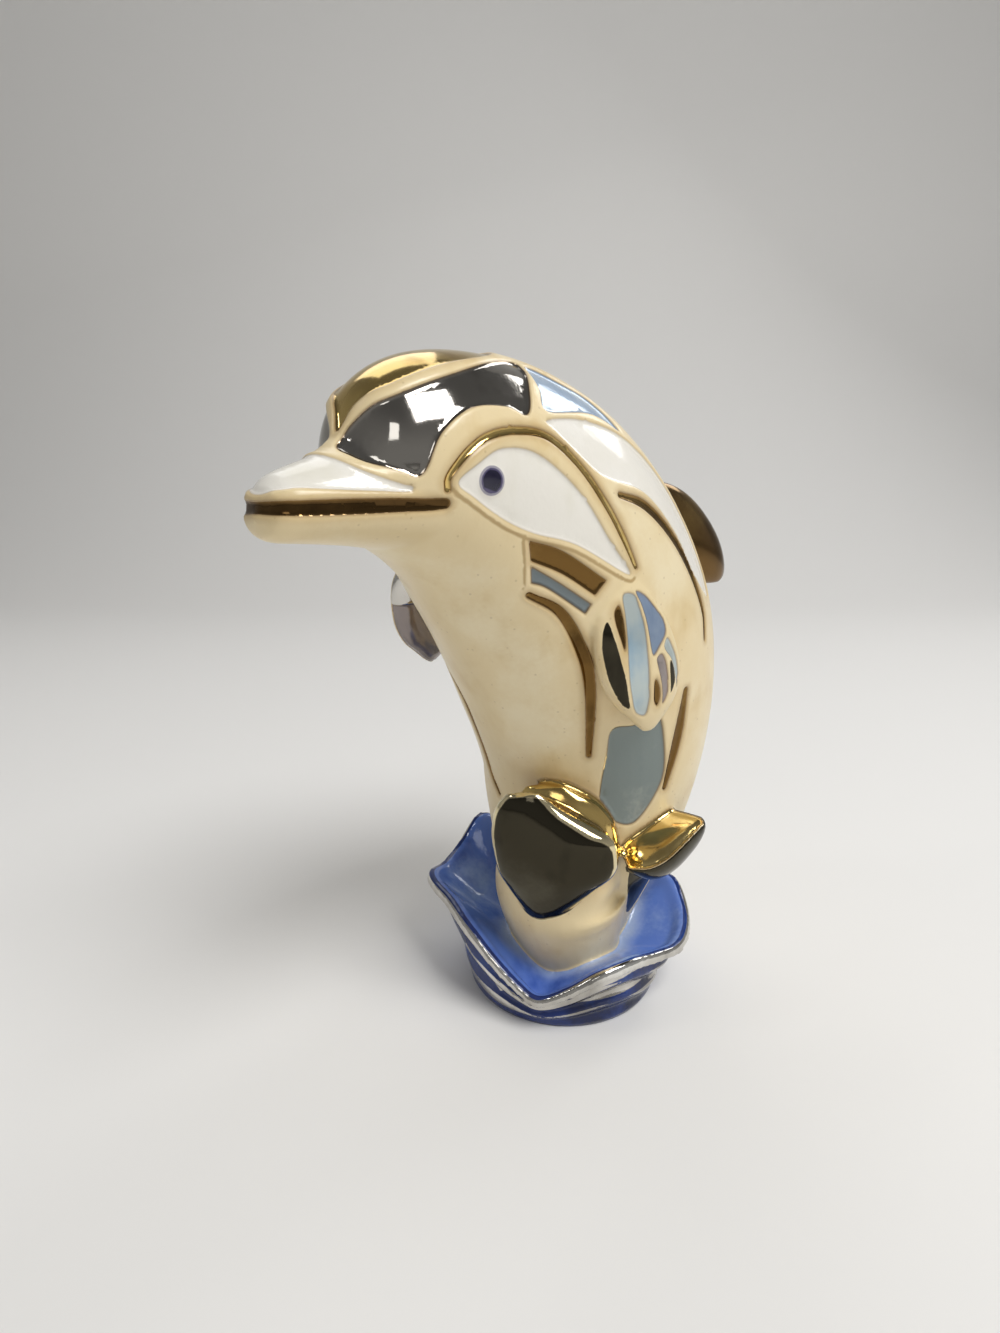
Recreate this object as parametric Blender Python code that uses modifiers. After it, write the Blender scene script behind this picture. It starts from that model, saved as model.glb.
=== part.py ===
"""A glazed ceramic dolphin leaping from a wave: one slip-cast piece, modelled solid.

The nose points to -Y, the dolphin's left side is +X, and the foot of the wave stands on z = 0.
The places below are millimetres and are turned into metres by MM.
"""

import math

import bmesh
import bpy
import numpy as np
from mathutils import Matrix, Vector
from mathutils.bvhtree import BVHTree

NAME = "dolphin_figurine"
MM = 0.001

# Overall sizes. The whole figurine is stretched to them.
WIDTH = 68.5
LENGTH = 142.5
HEIGHT = 146.0

# Body in the mirror plane, from the forehead over the back and down into the wave.
# Each row: back line (y, z), belly line (y, z), half width.
BODY_STATIONS = (
    ((-65.2, 128.8), (-61.0, 113.0), 8.4),
    ((-60.8, 138.0), (-57.0, 110.5), 12.4),
    ((-51.0, 143.8), (-51.0, 107.0), 16.1),
    ((-36.1, 145.8), (-45.0, 102.0), 19.0),
    ((-18.4, 144.2), (-39.0, 94.0), 22.6),
    ((-0.8, 138.0), (-33.0, 86.0), 26.3),
    ((16.5, 125.7), (-28.0, 78.0), 28.9),
    ((31.0, 107.7), (-23.5, 69.5), 30.4),
    ((37.5, 87.0), (-19.0, 61.0), 30.0),
    ((37.0, 66.0), (-16.0, 53.0), 28.5),
    ((32.5, 46.0), (-15.0, 43.0), 25.5),
    ((26.5, 29.0), (-14.5, 31.0), 20.5),
    ((19.0, 14.0), (-12.5, 17.0), 15.0),
    ((13.0, 4.0), (-8.0, 4.0), 11.0),
)
FOREHEAD_BULGE = 3.8

# Beak along -Y. Each row: y, z of the lip line, half width, rise above it, drop below it.
BEAK_STATIONS = (
    (-46.0, 119.0, 15.0, 12.0, 10.5),
    (-54.0, 118.8, 13.3, 11.0, 8.6),
    (-62.0, 118.4, 11.2, 9.8, 6.8),
    (-68.5, 118.1, 9.3, 8.6, 5.8),
    (-74.0, 117.9, 7.8, 7.1, 5.2),
    (-77.5, 117.7, 6.4, 5.8, 4.7),
    (-79.4, 117.4, 4.6, 4.2, 3.6),
)
BEAK_TIP = (-80.4, 117.2)

# Fins. The outline rows are: share of the length, half width ahead, half width behind.
# The two thicknesses are those of the outer and the inner half.
DORSAL_FIN_THICKNESS = 4.8
DORSAL_FIN_ARCH = 5.0
FLIPPER_THICKNESS = 3.4
FLIPPER_OUTLINE = (
    (0, 4.0, 2.0),
    (0.1, 6.5, 3.5),
    (0.2, 8.9, 5.2),
    (0.31, 10.0, 7.3),
    (0.45, 10.2, 8.8),
    (0.6, 9.6, 9.4),
    (0.75, 7.6, 8.6),
    (0.85, 5.0, 6.5),
    (0.93, 3.0, 3.6),
    (1, 1.0, 1.0),
)
FINS = {
    "dorsal_fin": {
        "root": (1.0, 24.0, 108.0),
        "tip": (10.0, 62.5, 100.0),
        "arch": (0, 0, DORSAL_FIN_ARCH),
        "across": (0, 0.15, -1),
        "facing": (1, 0, 0),
        "thickness": (DORSAL_FIN_THICKNESS, DORSAL_FIN_THICKNESS),
        "outline": ((0, 15.0, 15.0), (0.35, 14.2, 14.2), (0.65, 12.2, 12.2), (0.88, 8.1, 8.1), (1, 2.7, 2.7)),
    },
    "left_flipper": {
        "root": (25.5, -16.5, 105.0),
        "tip": (29.0, -12.0, 73.0),
        "across": (0.375, 0.911, 0.169),
        "facing": (0.90, -0.38, 0.05),
        "thickness": (FLIPPER_THICKNESS, FLIPPER_THICKNESS),
        "outline": FLIPPER_OUTLINE,
    },
    "right_flipper": {
        "root": (-23.5, -22.5, 109.5),
        "tip": (-32.5, -12.5, 78.5),
        "across": (0.42, 0.90, 0.13),
        "facing": (-0.90, 0.15, 0.40),
        "thickness": (FLIPPER_THICKNESS, FLIPPER_THICKNESS),
        "outline": FLIPPER_OUTLINE,
    },
}

# The tail and the wave are turned to the dolphin's left. Their places are written as
# (sideways, forwards, up) in that turned frame.
TAIL_TURN = 35.0
TAIL_CURL = (
    # the bowl of the tail stock, with its radius
    (1.8, 3.0, 3.0, 9.5),
    (1.6, 4.4, 13.0, 12.8),
    (0.2, 5.4, 24.0, 15.8),
    (0.2, 8.4, 33.0, 15.8),
    (4.5, 12.5, 40.0, 11.5),
    (8.5, 17.0, 45.0, 5.5),
)
FLUKES = {
    "right_fluke": {
        "root": (-3.5, 20.0, 25.0),
        "tip": (-8.0, 25.5, 59.0),
        "across": (1, 0, 0.10),
        "facing": (-0.1, 1, -0.12),
        "thickness": (5.0, 5.0),
        "outline": (
            (0, 2.0, 2.0),
            (0.1, 4.4, 5.2),
            (0.3, 7.6, 13.2),
            (0.43, 9.2, 17.4),
            (0.64, 9.4, 17.6),
            (0.76, 8.8, 12.4),
            (0.88, 7.4, 6.6),
            (1, 4.0, 2.5),
        ),
    },
    "right_fluke_deck": {
        "root": (-1.0, 14.0, 24.0),
        "tip": (-4.5, 19.5, 59.0),
        "across": (1, 0, 0.10),
        "facing": (-0.1, 1, -0.12),
        "thickness": (5.0, 3.6),
        "outline": (
            (0, 2.0, 2.0),
            (0.1, 4.0, 5.0),
            (0.3, 6.0, 11.5),
            (0.45, 7.5, 15.8),
            (0.64, 8.0, 15.6),
            (0.76, 8.0, 14.0),
            (0.88, 7.2, 10.6),
            (1, 4.0, 4.0),
        ),
    },
    "left_fluke": {
        "root": (13.0, 15.0, 42.0),
        "tip": (31.3, 16.0, 49.5),
        "across": (0, -1, 0.15),
        "facing": (-0.30, 0.55, 1),
        "thickness": (2.4, 10.5),
        "outline": ((0, 6.5, 6.5), (0.25, 8.5, 8.5), (0.5, 7.6, 7.6), (0.75, 4.6, 4.6), (1, 0.8, 0.8)),
    },
}

# Wave: the rim runs once round the foot. Each row: bearing from the front in degrees,
# distance from the centre, height.
FOOT_RADIUS = 21.5
WALL_RADIUS = 23.6
WALL_FLARE = 1.6
RIM_ROLL = 1.5
DECK_HEIGHT = 11.0
RIPPLES = 2.6
RIPPLE_HEIGHT = 0.8
WAVE_RIM = (
    (-180, 30.0, 18.0),
    (-155, 30.0, 25.0),
    (-133, 32.0, 32.0),
    (-119, 32.8, 26.0),
    (-106, 33.6, 23.0),
    (-92, 34.5, 24.0),
    (-72, 29.5, 23.0),
    (-52, 28.0, 20.5),
    (-34, 26.5, 14.5),
    (-22, 26.0, 10.5),
    (-11, 26.5, 8.5),
    (4, 26.5, 11.5),
    (20, 27.0, 15.5),
    (38, 27.0, 16.5),
    (55, 27.5, 15.0),
    (72, 30.5, 14.5),
    (88, 31.5, 17.5),
    (104, 30.0, 22.5),
    (122, 28.0, 19.0),
    (150, 29.0, 13.0),
)

# Sunk fields of the skin, by points near it. A field is drawn on the left side and mirrored,
# unless it lies across the middle or belongs to one side (1 left, -1 right).
FIELD_DEPTH = 0.7
LINE_DEPTH = 0.6
EDGE_WIDTH = 0.9
# Points of a line are (x, y, z, width).
LINES = {
    "mouth_stripe": {
        "side": 0,
        "points": (
            (0, -80, 118.2, 1.6), (5.3, -77.9, 118.2, 1.9), (7.8, -72.7, 118.3, 2),
            (9.7, -66.7, 118.4, 2), (11.7, -60.3, 118.5, 1.9), (14, -54.2, 118.4, 1.4),
        ),
    },
    "eye_arc": {
        "side": 0,
        "points": (
            (14.8, -54.3, 120.7, 1.1), (15.1, -54.5, 122.3, 1.1), (15.7, -53.3, 124.4, 1.2),
            (16.3, -50.7, 127.1, 1.3), (16.9, -46.9, 129.4, 1.3), (17.6, -41.1, 130.5, 1.4),
            (19.1, -34.1, 129.8, 1.4), (21.7, -27.7, 124.9, 1.4), (24.2, -22.6, 118.2, 1.4),
            (25.9, -18.7, 111.7, 1.3), (26.9, -15.9, 106.5, 0.9),
        ),
    },
    "back_slash": {
        "side": 0,
        "points": (
            (24.5, -18.7, 120, 1), (25.6, -11.2, 118, 1.9), (26.9, -3.4, 112.8, 2.2),
            (28.2, 3.7, 105.1, 2.1), (29.3, 8.8, 96, 1.6), (30, 9.2, 89.2, 0.8),
        ),
    },
    "belly_line": {
        "side": 1,
        "points": (
            (16.5, -35.8, 102.1, 1.2), (19.4, -30, 98.6, 1.9), (20.5, -24.7, 91.3, 2.3),
            (20.2, -20.5, 82.6, 2.3), (16.8, -15.3, 65.9, 1.1),
        ),
    },
    "belly_line_right": {
        "side": -1,
        "points": (
            (-16.5, -35.8, 102.1, 1.2), (-19, -30, 97, 1.9), (-17.5, -25.5, 86, 2.1),
            (-12, -23, 75, 2), (-12.5, -17, 64, 1.9), (-12.4, -13.7, 55, 1.6), (-9.4, -13.9, 50, 0.9),
        ),
    },
    "flank_slash": {
        "side": 0,
        "points": (
            (29.6, 2, 79, 1.6), (28.4, 2, 68, 2.7), (26.4, 1.2, 56, 1),
        ),
    },
}
AREAS = {
    "eye_patch": {
        "across_middle": False,
        "sharp": False,
        "points": (
            (15.6, -52.7, 121.8), (16.8, -49.5, 124.8), (17.7, -44.4, 127.5), (19.4, -37, 126.7),
            (22.4, -28.6, 120.4), (24.9, -22.4, 111.9), (26.5, -17.4, 105.1), (22.5, -29.3, 111.1),
            (19.1, -37.8, 113.4), (17.1, -43.6, 115.9), (16.1, -49.7, 119.5),
        ),
    },
    "cheek_gold": {
        "across_middle": False,
        "sharp": True,
        "points": (
            (18.5, -38.4, 112.1), (21.2, -32, 110.1), (24.7, -22.7, 104.3), (23.5, -24.6, 101.6),
            (20.8, -31.3, 105.9), (18.1, -37.3, 108.5),
        ),
    },
    "cheek_blue": {
        "across_middle": False,
        "sharp": True,
        "points": (
            (17.9, -37.1, 107.6), (20.2, -31.7, 104.4), (23.1, -25, 99.9), (22.2, -25.7, 98),
            (18.9, -33.2, 103.2), (17.3, -36.2, 104.4),
        ),
    },
    "platinum_brow": {
        "across_middle": False,
        "sharp": False,
        "points": (
            (2.1, -64.8, 129.9), (5.3, -62.4, 133.3), (8.8, -58.2, 135.6), (10.8, -48.5, 139.1),
            (8.6, -32.6, 143), (10.9, -30.9, 141.6), (14.6, -33.8, 138), (17.1, -37.3, 133.3),
            (16, -41.5, 134.4), (14.8, -48.9, 133.7), (14.4, -55.2, 129.5), (13.5, -58.5, 123),
            (11.2, -61.7, 123.7), (5.8, -66, 126.3), (2.2, -66.6, 127.5),
        ),
    },
    "forehead_leaf": {
        "across_middle": True,
        "sharp": False,
        "points": (
            (0, -65.2, 130), (2.2, -63.2, 133.5), (4.4, -61.3, 135.5), (7, -58, 137.2),
            (8.6, -50.5, 140), (8, -39.3, 142.7), (4.8, -33, 144.5), (0, -31, 145.2),
        ),
    },
    "beak_top": {
        "across_middle": True,
        "sharp": False,
        "points": (
            (0, -79, 120), (3.6, -77.6, 120.4), (5.2, -75.9, 120.8), (7.7, -70.6, 120.8),
            (9.9, -64.7, 120.7), (12.6, -59.3, 120.9), (10.2, -62.9, 122.7), (7.3, -66.3, 124),
            (3.5, -68.5, 125.2), (0, -69, 125.5),
        ),
    },
    "nape": {
        "across_middle": False,
        "sharp": False,
        "points": (
            (9.5, -29, 142.3), (12, -21.4, 140.5), (13.6, -13.5, 137.8), (18.2, -9.6, 132.2),
            (17.3, -18, 134.8), (17.4, -32, 134.2), (14.5, -31, 138.2),
        ),
    },
    "back_band": {
        "across_middle": False,
        "sharp": False,
        "points": (
            (18.1, -32.8, 132.7), (18.5, -21.1, 133.2), (19.4, -8.5, 130.6), (21.2, 2, 125),
            (23.2, 10, 117), (25.4, 15.5, 107.5), (27.6, 16.5, 98), (28.7, 6.4, 100.7),
            (27.3, -1.9, 111), (25.4, -11, 118.6), (23.8, -21.2, 121.1), (22.5, -25.3, 123.3),
            (19.1, -31.6, 130.8),
        ),
    },
    "flank_panel": {
        "across_middle": False,
        "sharp": False,
        "points": (
            (21.6, -13.9, 72.3), (24.8, -9.7, 73), (29.5, -6, 74.5), (28, -1.5, 66), (26, 0, 57.5),
            (22.5, -4, 48.5), (19, -8.1, 49.3), (17.1, -10.8, 54.7), (19.7, -12.8, 65.8),
        ),
    },
}
# Sunk fields of a flipper: (across towards the tail, along towards the tip).
FLIPPER_AREAS = {
    "band": (
        (-3.2, 2.4), (-4.4, 8.7), (-5.3, 15), (-5.1, 21.8), (-3.6, 27.6), (-2.4, 27.8), (-1.9, 22.6),
        (-1.3, 17.4), (-0.7, 11.9), (0, 6.7), (0.2, 2.6),
    ),
    "wedge": (
        (1, 2.6), (3.6, 6.6), (5, 10.2), (3.7, 12.6), (0.2, 15.2), (-0.1, 12), (0.6, 7),
    ),
    "petal": (
        (-8.3, 7.4), (-9.3, 10.2), (-9.5, 14), (-8.8, 18.6), (-7.2, 22.6), (-4.7, 26.4), (-5.2, 24.6),
        (-6.2, 20), (-7.1, 14.5), (-7.9, 9.4),
    ),
}

RING_POINTS = 64
FIN_RINGS = 24
WAVE_POINTS = 120
GRAIN = 0.75
SMOOTHING_PASSES = 4
TRIANGLES = 11800
CUT_DEPTH = 2.0


def smooth_rows(rows, steps):
    """Rows of numbers joined by a Catmull-Rom curve, with this many steps between two rows."""
    rows = np.asarray(rows, float)
    ends = np.vstack([2 * rows[0] - rows[1], rows, 2 * rows[-1] - rows[-2]])
    out = []
    for i in range(len(rows) - 1):
        a, b, c, d = ends[i : i + 4]
        for t in np.arange(steps) / steps:
            bend = (2 * a - 5 * b + 4 * c - d) * t**2 + (3 * b - a - 3 * c + d) * t**3
            out.append(b + 0.5 * ((c - a) * t + bend))
    out.append(rows[-1])
    return np.array(out)


def smooth_loop(points, steps):
    """The same curve run once round a closed outline."""
    points = np.asarray(points, float)
    around = np.vstack([points[-1], points, points[0], points[1]])
    return smooth_rows(around, steps)[steps : -steps - 1]


def loft(rings, start, end):
    """A closed mesh through rings of points, with a point at each end."""
    bm = bmesh.new()
    made = [[bm.verts.new(Vector(point) * MM) for point in ring] for ring in rings]
    count = len(made[0])
    for first, second in zip(made, made[1:]):
        for i in range(count):
            j = (i + 1) % count
            bm.faces.new((first[i], first[j], second[j], second[i]))
    for ring, tip in ((made[0], start), (made[-1], end)):
        apex = bm.verts.new(Vector(tip) * MM)
        for i in range(count):
            bm.faces.new((ring[(i + 1) % count], ring[i], apex))
    bmesh.ops.recalc_face_normals(bm, faces=bm.faces)
    return bm


def angles(count):
    return np.arange(count) / count * 2 * math.pi


def unit(vector):
    return vector / np.linalg.norm(vector)


def straight(*place):
    return np.array(place, float)


def turned(sideways, forwards, up):
    """A place in the turned frame of the tail and the wave."""
    turn = Matrix.Rotation(math.radians(TAIL_TURN), 3, "Z")
    return np.array(turn @ Vector((sideways, -forwards, up)))


def body():
    rows = smooth_rows([(*back, *belly, half) for back, belly, half in BODY_STATIONS], 8)
    rings = []
    for back_y, back_z, belly_y, belly_z, half in rows:
        centre = np.array([0, (back_y + belly_y) / 2, (back_z + belly_z) / 2])
        reach = np.array([0, (back_y - belly_y) / 2, (back_z - belly_z) / 2])
        side = np.array([half, 0, 0])
        rings.append([centre + reach * math.cos(a) + side * math.sin(a) for a in angles(RING_POINTS)])
    first = np.array(rings[0])
    middle = first.mean(0)
    ahead = np.array([0, -FOREHEAD_BULGE, -0.15 * FOREHEAD_BULGE])
    nose = [
        [middle + (point - middle) * math.sin(a) + ahead * math.cos(a) for point in first]
        for a in np.radians([20, 40, 65])
    ]
    return loft(nose + rings, middle + ahead, np.array(rings[-1]).mean(0))


def beak():
    rings = []
    for y, z, half, rise, drop in smooth_rows(BEAK_STATIONS, 6):
        heights = [(rise if math.cos(a) > 0 else drop) * math.cos(a) for a in angles(RING_POINTS)]
        rings.append([(half * math.sin(a), y, z + up) for a, up in zip(angles(RING_POINTS), heights)])
    return loft(rings, (0, *BEAK_STATIONS[0][:2]), (0, *BEAK_TIP))


def fin_frame(shape, place):
    """Root, tip, and the directions along, across and out of the outer face."""
    root, tip, across, facing = (place(*shape[key]) for key in ("root", "tip", "across", "facing"))
    along = unit(tip - root)
    out = unit(facing - along * (facing @ along))
    return root, tip, along, unit(across - out * (across @ out)), out


def fin(shape, place):
    """A leaf with a lens section from root to tip."""
    root, tip, _, side, out = fin_frame(shape, place)
    arch = place(*shape.get("arch", (0, 0, 0)))
    outline = smooth_rows(shape["outline"], 8)
    widest = max(ahead + behind for _, ahead, behind in shape["outline"])
    rings = []
    for t in np.linspace(0.02, 0.98, FIN_RINGS):
        ahead, behind = (np.interp(t, outline[:, 0], outline[:, k]) for k in (1, 2))
        plump = (0.35 + 0.65 * (ahead + behind) / widest) * math.sqrt(1 - abs(2 * t - 1) ** 6)
        centre = root + (tip - root) * t + arch * math.sin(math.pi * t) + side * (behind - ahead) / 2
        rings.append(
            [
                centre
                + side * (ahead + behind) / 2 * math.cos(a)
                + out * shape["thickness"][math.sin(a) < 0] * plump * math.sin(a)
                for a in angles(RING_POINTS // 2)
            ]
        )
    return loft(rings, root, tip)


def tail_curl():
    rows = smooth_rows([(*turned(*row[:3]), row[3]) for row in TAIL_CURL], 8)
    rings = []
    for i, (x, y, z, radius) in enumerate(rows):
        ahead = unit(rows[min(i + 1, len(rows) - 1)][:3] - rows[max(i - 1, 0)][:3])
        side = turned(1, 0, 0)
        side = unit(side - ahead * (side @ ahead))
        up = np.cross(side, ahead)
        centre = np.array([x, y, z])
        rings.append(
            [centre + radius * (side * math.cos(a) + up * math.sin(a)) for a in angles(RING_POINTS // 2)]
        )
    return loft(rings, rows[0][:3], rows[-1][:3])


def rim_at(bearings):
    """Distance from the centre and height of the wave's rim at each bearing."""
    rows = np.array([WAVE_RIM[-1], *WAVE_RIM, *WAVE_RIM[:2]], float)
    rows[0, 0] -= 360
    rows[-2:, 0] += 360
    path = smooth_rows(rows, 8)
    return np.stack([np.interp(bearings, path[:, 0], path[:, k]) for k in (1, 2)], 1)


def wall_at(share, bearing, rim_reach, rim_height):
    """A place on the rippled outer wall, from the rim (share 0) down to the foot (share 1)."""
    turns = RIPPLES * share + 0.16 * math.sin(2 * bearing + 0.6) + 0.10 * math.sin(3 * bearing)
    swell = RIPPLE_HEIGHT * math.cos(2 * math.pi * turns) * math.sin(math.pi * share) ** 0.7
    reach = WALL_RADIUS + (rim_reach - WALL_RADIUS) * (1 - share) ** WALL_FLARE + swell
    return reach, rim_height * (1 - share) + 1.2 * share


def wave():
    bearings = np.arange(WAVE_POINTS) * 360 / WAVE_POINTS - 180
    rim = rim_at(bearings)

    def ring(place):
        out = []
        for bearing, (reach, height) in zip(np.radians(bearings), rim):
            reach, height = place(bearing, reach, height)
            out.append(turned(reach * math.sin(bearing), reach * math.cos(bearing), height))
        return out

    rings = [ring(lambda b, r, z: (FOOT_RADIUS, -CUT_DEPTH))]
    for share in np.linspace(1.0, 0.14, 20):
        rings.append(ring(lambda b, r, z: wall_at(share, b, r, z)))
    rings += [
        ring(lambda b, r, z: (r + RIM_ROLL / 2, z - RIM_ROLL)),
        ring(lambda b, r, z: (r, z + RIM_ROLL / 2)),
        ring(lambda b, r, z: (r - 1.5 * RIM_ROLL, z + RIM_ROLL / 3)),
        ring(lambda b, r, z: (r - 2.8 * RIM_ROLL, z - RIM_ROLL)),
        ring(lambda b, r, z: (0.7 * r - RIM_ROLL, 0.55 * z + 0.35 * DECK_HEIGHT)),
        ring(lambda b, r, z: (0.4 * r, 0.2 * z + 0.8 * DECK_HEIGHT)),
    ]
    return loft(rings, (0, 0, -CUT_DEPTH), (0, 0, DECK_HEIGHT))


def make_forms():
    forms = {"body": body(), "beak": beak(), "tail_curl": tail_curl(), "wave": wave()}
    forms.update({name: fin(shape, straight) for name, shape in FINS.items()})
    forms.update({name: fin(shape, turned) for name, shape in FLUKES.items()})
    return forms


def join(forms):
    """One skin round all the forms."""
    joined = bmesh.new()
    for form in forms.values():
        mesh = bpy.data.meshes.new("form")
        form.to_mesh(mesh)
        joined.from_mesh(mesh)
        bpy.data.meshes.remove(mesh)
    mesh = bpy.data.meshes.new(NAME)
    joined.to_mesh(mesh)
    joined.free()
    figure = bpy.data.objects.new(NAME, mesh)
    collection = bpy.data.collections.new("dolphin")
    bpy.context.scene.collection.children.link(collection)
    collection.objects.link(figure)

    skin = figure.modifiers.new("skin", "REMESH")
    skin.mode = "VOXEL"
    skin.voxel_size = GRAIN * MM
    soften = figure.modifiers.new("soften", "SMOOTH")
    soften.iterations = SMOOTHING_PASSES
    replace_mesh(figure)
    return figure


def distance_to_path(where, path, half_width):
    """Gap from each place to a line of this half width, negative inside it."""
    best = np.full(len(where), np.inf)
    for a, b, wide_a, wide_b in zip(path, path[1:], half_width, half_width[1:]):
        ab = b - a
        t = np.clip((where - a) @ ab / max(ab @ ab, 1e-9), 0, 1)
        gap = np.linalg.norm(where - a - t[:, None] * ab, axis=1) - (wide_a + (wide_b - wide_a) * t)
        best = np.minimum(best, gap)
    return best


def inside_outline(flat, outline):
    inside = np.zeros(len(flat), bool)
    for a, b in zip(outline, np.roll(outline, -1, 0)):
        crosses = (a[1] > flat[:, 1]) != (b[1] > flat[:, 1])
        if a[1] != b[1]:
            inside ^= crosses & (flat[:, 0] < (b[0] - a[0]) * (flat[:, 1] - a[1]) / (b[1] - a[1]) + a[0])
    return inside


def on_skin(points, tree):
    return np.array([np.array(tree.find_nearest(Vector(point) * MM)[0]) / MM for point in points])


def near_path(where, path):
    low, high = path.min(0) - 3, path.max(0) + 3
    return np.flatnonzero(((where > low) & (where < high)).all(1))


def line_gap(where, points, tree):
    path = smooth_rows(points, 6)
    on = on_skin(path[:, :3], tree)
    gap = np.full(len(where), np.inf)
    near = near_path(where, on)
    gap[near] = distance_to_path(where[near], on, path[:, 3] / 2)
    return gap


def area_gap(where, normals, points, outward, tree):
    """Gap from each place to an outline on the skin, negative inside it."""
    on = on_skin(points, tree)
    gap = np.full(len(where), np.inf)
    near = near_path(where, on)
    centre = on.mean(0)
    facing = unit(sum(np.cross(a - centre, b - centre) for a, b in zip(on, np.roll(on, -1, 0))))
    if facing @ outward < 0:
        facing = -facing
    across = unit(np.cross(facing, (0.1, 1, 0.2)))
    flat = np.stack([across, np.cross(facing, across)], 1)
    inside = inside_outline((where[near] - centre) @ flat, (on - centre) @ flat)
    inside &= normals[near] @ facing > 0
    edge = distance_to_path(where[near], np.vstack([on, on[:1]]), np.zeros(len(on) + 1))
    gap[near] = np.where(inside, -edge, edge)
    return gap


def off_forms(where, forms, names):
    """Above zero at each place that is nearer to some other form than to the named ones."""
    reach = {}
    for name, form in forms.items():
        tree = BVHTree.FromBMesh(form)
        found = [tree.find_nearest(Vector(point) * MM)[3] for point in where]
        reach[name] = np.array(found) / MM
    own = {name: np.min([reach[other] for other in group], 0) for name, group in names.items()}
    rest = {
        name: np.min([gap for other, gap in reach.items() if other not in group], 0)
        for name, group in names.items()
    }
    return {name: (own[name] - rest[name]) / 2 for name in names}


def sink(gap, depth):
    t = np.clip(0.5 - gap / EDGE_WIDTH, 0, 1)
    return depth * t * t * (3 - 2 * t)


def carve(figure, forms):
    """The fields are sunk into the skin, each by its own gap."""
    mesh = figure.data
    where = np.empty(len(mesh.vertices) * 3)
    normals = np.empty(len(mesh.vertices) * 3)
    mesh.vertices.foreach_get("co", where)
    mesh.vertices.foreach_get("normal", normals)
    where = where.reshape(-1, 3) / MM
    normals = normals.reshape(-1, 3)
    faces = [list(face.vertices) for face in mesh.polygons]
    tree = BVHTree.FromPolygons([Vector(point) * MM for point in where], faces)
    fold = np.stack([np.where(where[:, 0] < 0, -1.0, 1.0), *np.ones((2, len(where)))], 1)
    off = off_forms(
        where,
        forms,
        {
            "trunk": ("body", "beak"),
            "left_flipper": ("left_flipper",),
            "right_flipper": ("right_flipper",),
        },
    )
    depth = np.zeros(len(where))
    for line in LINES.values():
        gap = line_gap(where if line["side"] else where * fold, line["points"], tree)
        depth = np.maximum(depth, sink(np.maximum(gap, off["trunk"]), LINE_DEPTH))
    for area in AREAS.values():
        points = np.array(area["points"], float)
        if area["across_middle"]:
            points = np.vstack([points, (points * (-1, 1, 1))[-2:0:-1]])
        path = smooth_loop(points, 1 if area["sharp"] else 6)
        outward = np.array([path.mean(0)[0], 0, 10])
        turn = 1 if area["across_middle"] else fold
        gap = area_gap(where * turn, normals * turn, path, outward, tree)
        depth = np.maximum(depth, sink(np.maximum(gap, off["trunk"]), FIELD_DEPTH))
    for name in ("left_flipper", "right_flipper"):
        root, _, along, side, out = fin_frame(FINS[name], straight)
        front = root + out * FLIPPER_THICKNESS
        for outline in FLIPPER_AREAS.values():
            path = [front + side * a + along * b for a, b in smooth_loop(outline, 4)]
            gap = area_gap(where, normals, path, out, tree)
            depth = np.maximum(depth, sink(np.maximum(gap, off[name]), FIELD_DEPTH))
    mesh.vertices.foreach_set("co", ((where - normals * depth[:, None]) * MM).ravel())
    mesh.update()


def thin(figure):
    count = sum(len(face.vertices) - 2 for face in figure.data.polygons)
    decimate = figure.modifiers.new("thin", "DECIMATE")
    decimate.ratio = min(1.0, TRIANGLES / count)
    replace_mesh(figure)


def level_foot(figure):
    """The foot is cut level at z = 0 and closed."""
    level = bmesh.new()
    level.from_mesh(figure.data)
    cut = bmesh.ops.bisect_plane(
        level,
        geom=level.verts[:] + level.edges[:] + level.faces[:],
        plane_co=(0, 0, 0),
        plane_no=(0, 0, 1),
        clear_inner=True,
    )
    edges = [part for part in cut["geom_cut"] if isinstance(part, bmesh.types.BMEdge)]
    bmesh.ops.contextual_create(level, geom=edges)
    bmesh.ops.triangulate(level, faces=[face for face in level.faces if len(face.verts) > 3])
    bmesh.ops.recalc_face_normals(level, faces=level.faces)
    level.to_mesh(figure.data)
    level.free()


def stretch(figure):
    """The figurine takes its overall sizes, with the foot left where it stands."""
    corners = np.array([corner[:] for corner in figure.bound_box])
    size = (corners.max(0) - corners.min(0)) / MM
    figure.data.transform(Matrix.Diagonal((WIDTH / size[0], LENGTH / size[1], HEIGHT / size[2], 1)))
    figure.data.shade_smooth()


def replace_mesh(figure):
    """The object's modifiers are made permanent."""
    done = bpy.data.meshes.new_from_object(figure.evaluated_get(bpy.context.evaluated_depsgraph_get()))
    figure.modifiers.clear()
    figure.data = done


def glazed_ceramic():
    material = bpy.data.materials.new("glazed ceramic")
    material.use_nodes = True
    shader = material.node_tree.nodes["Principled BSDF"]
    shader.inputs["Base Color"].default_value = (0.80, 0.66, 0.44, 1)
    shader.inputs["Roughness"].default_value = 0.35
    shader.inputs["Metallic"].default_value = 0.0
    return material


def main():
    for old in list(bpy.data.objects):
        bpy.data.objects.remove(old)
    forms = make_forms()
    figure = join(forms)
    carve(figure, forms)
    thin(figure)
    level_foot(figure)
    stretch(figure)
    figure.data.materials.append(glazed_ceramic())


main()
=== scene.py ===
import math

import bmesh
import bpy
import numpy as np
from mathutils import Matrix, Vector
from mathutils.bvhtree import BVHTree


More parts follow.
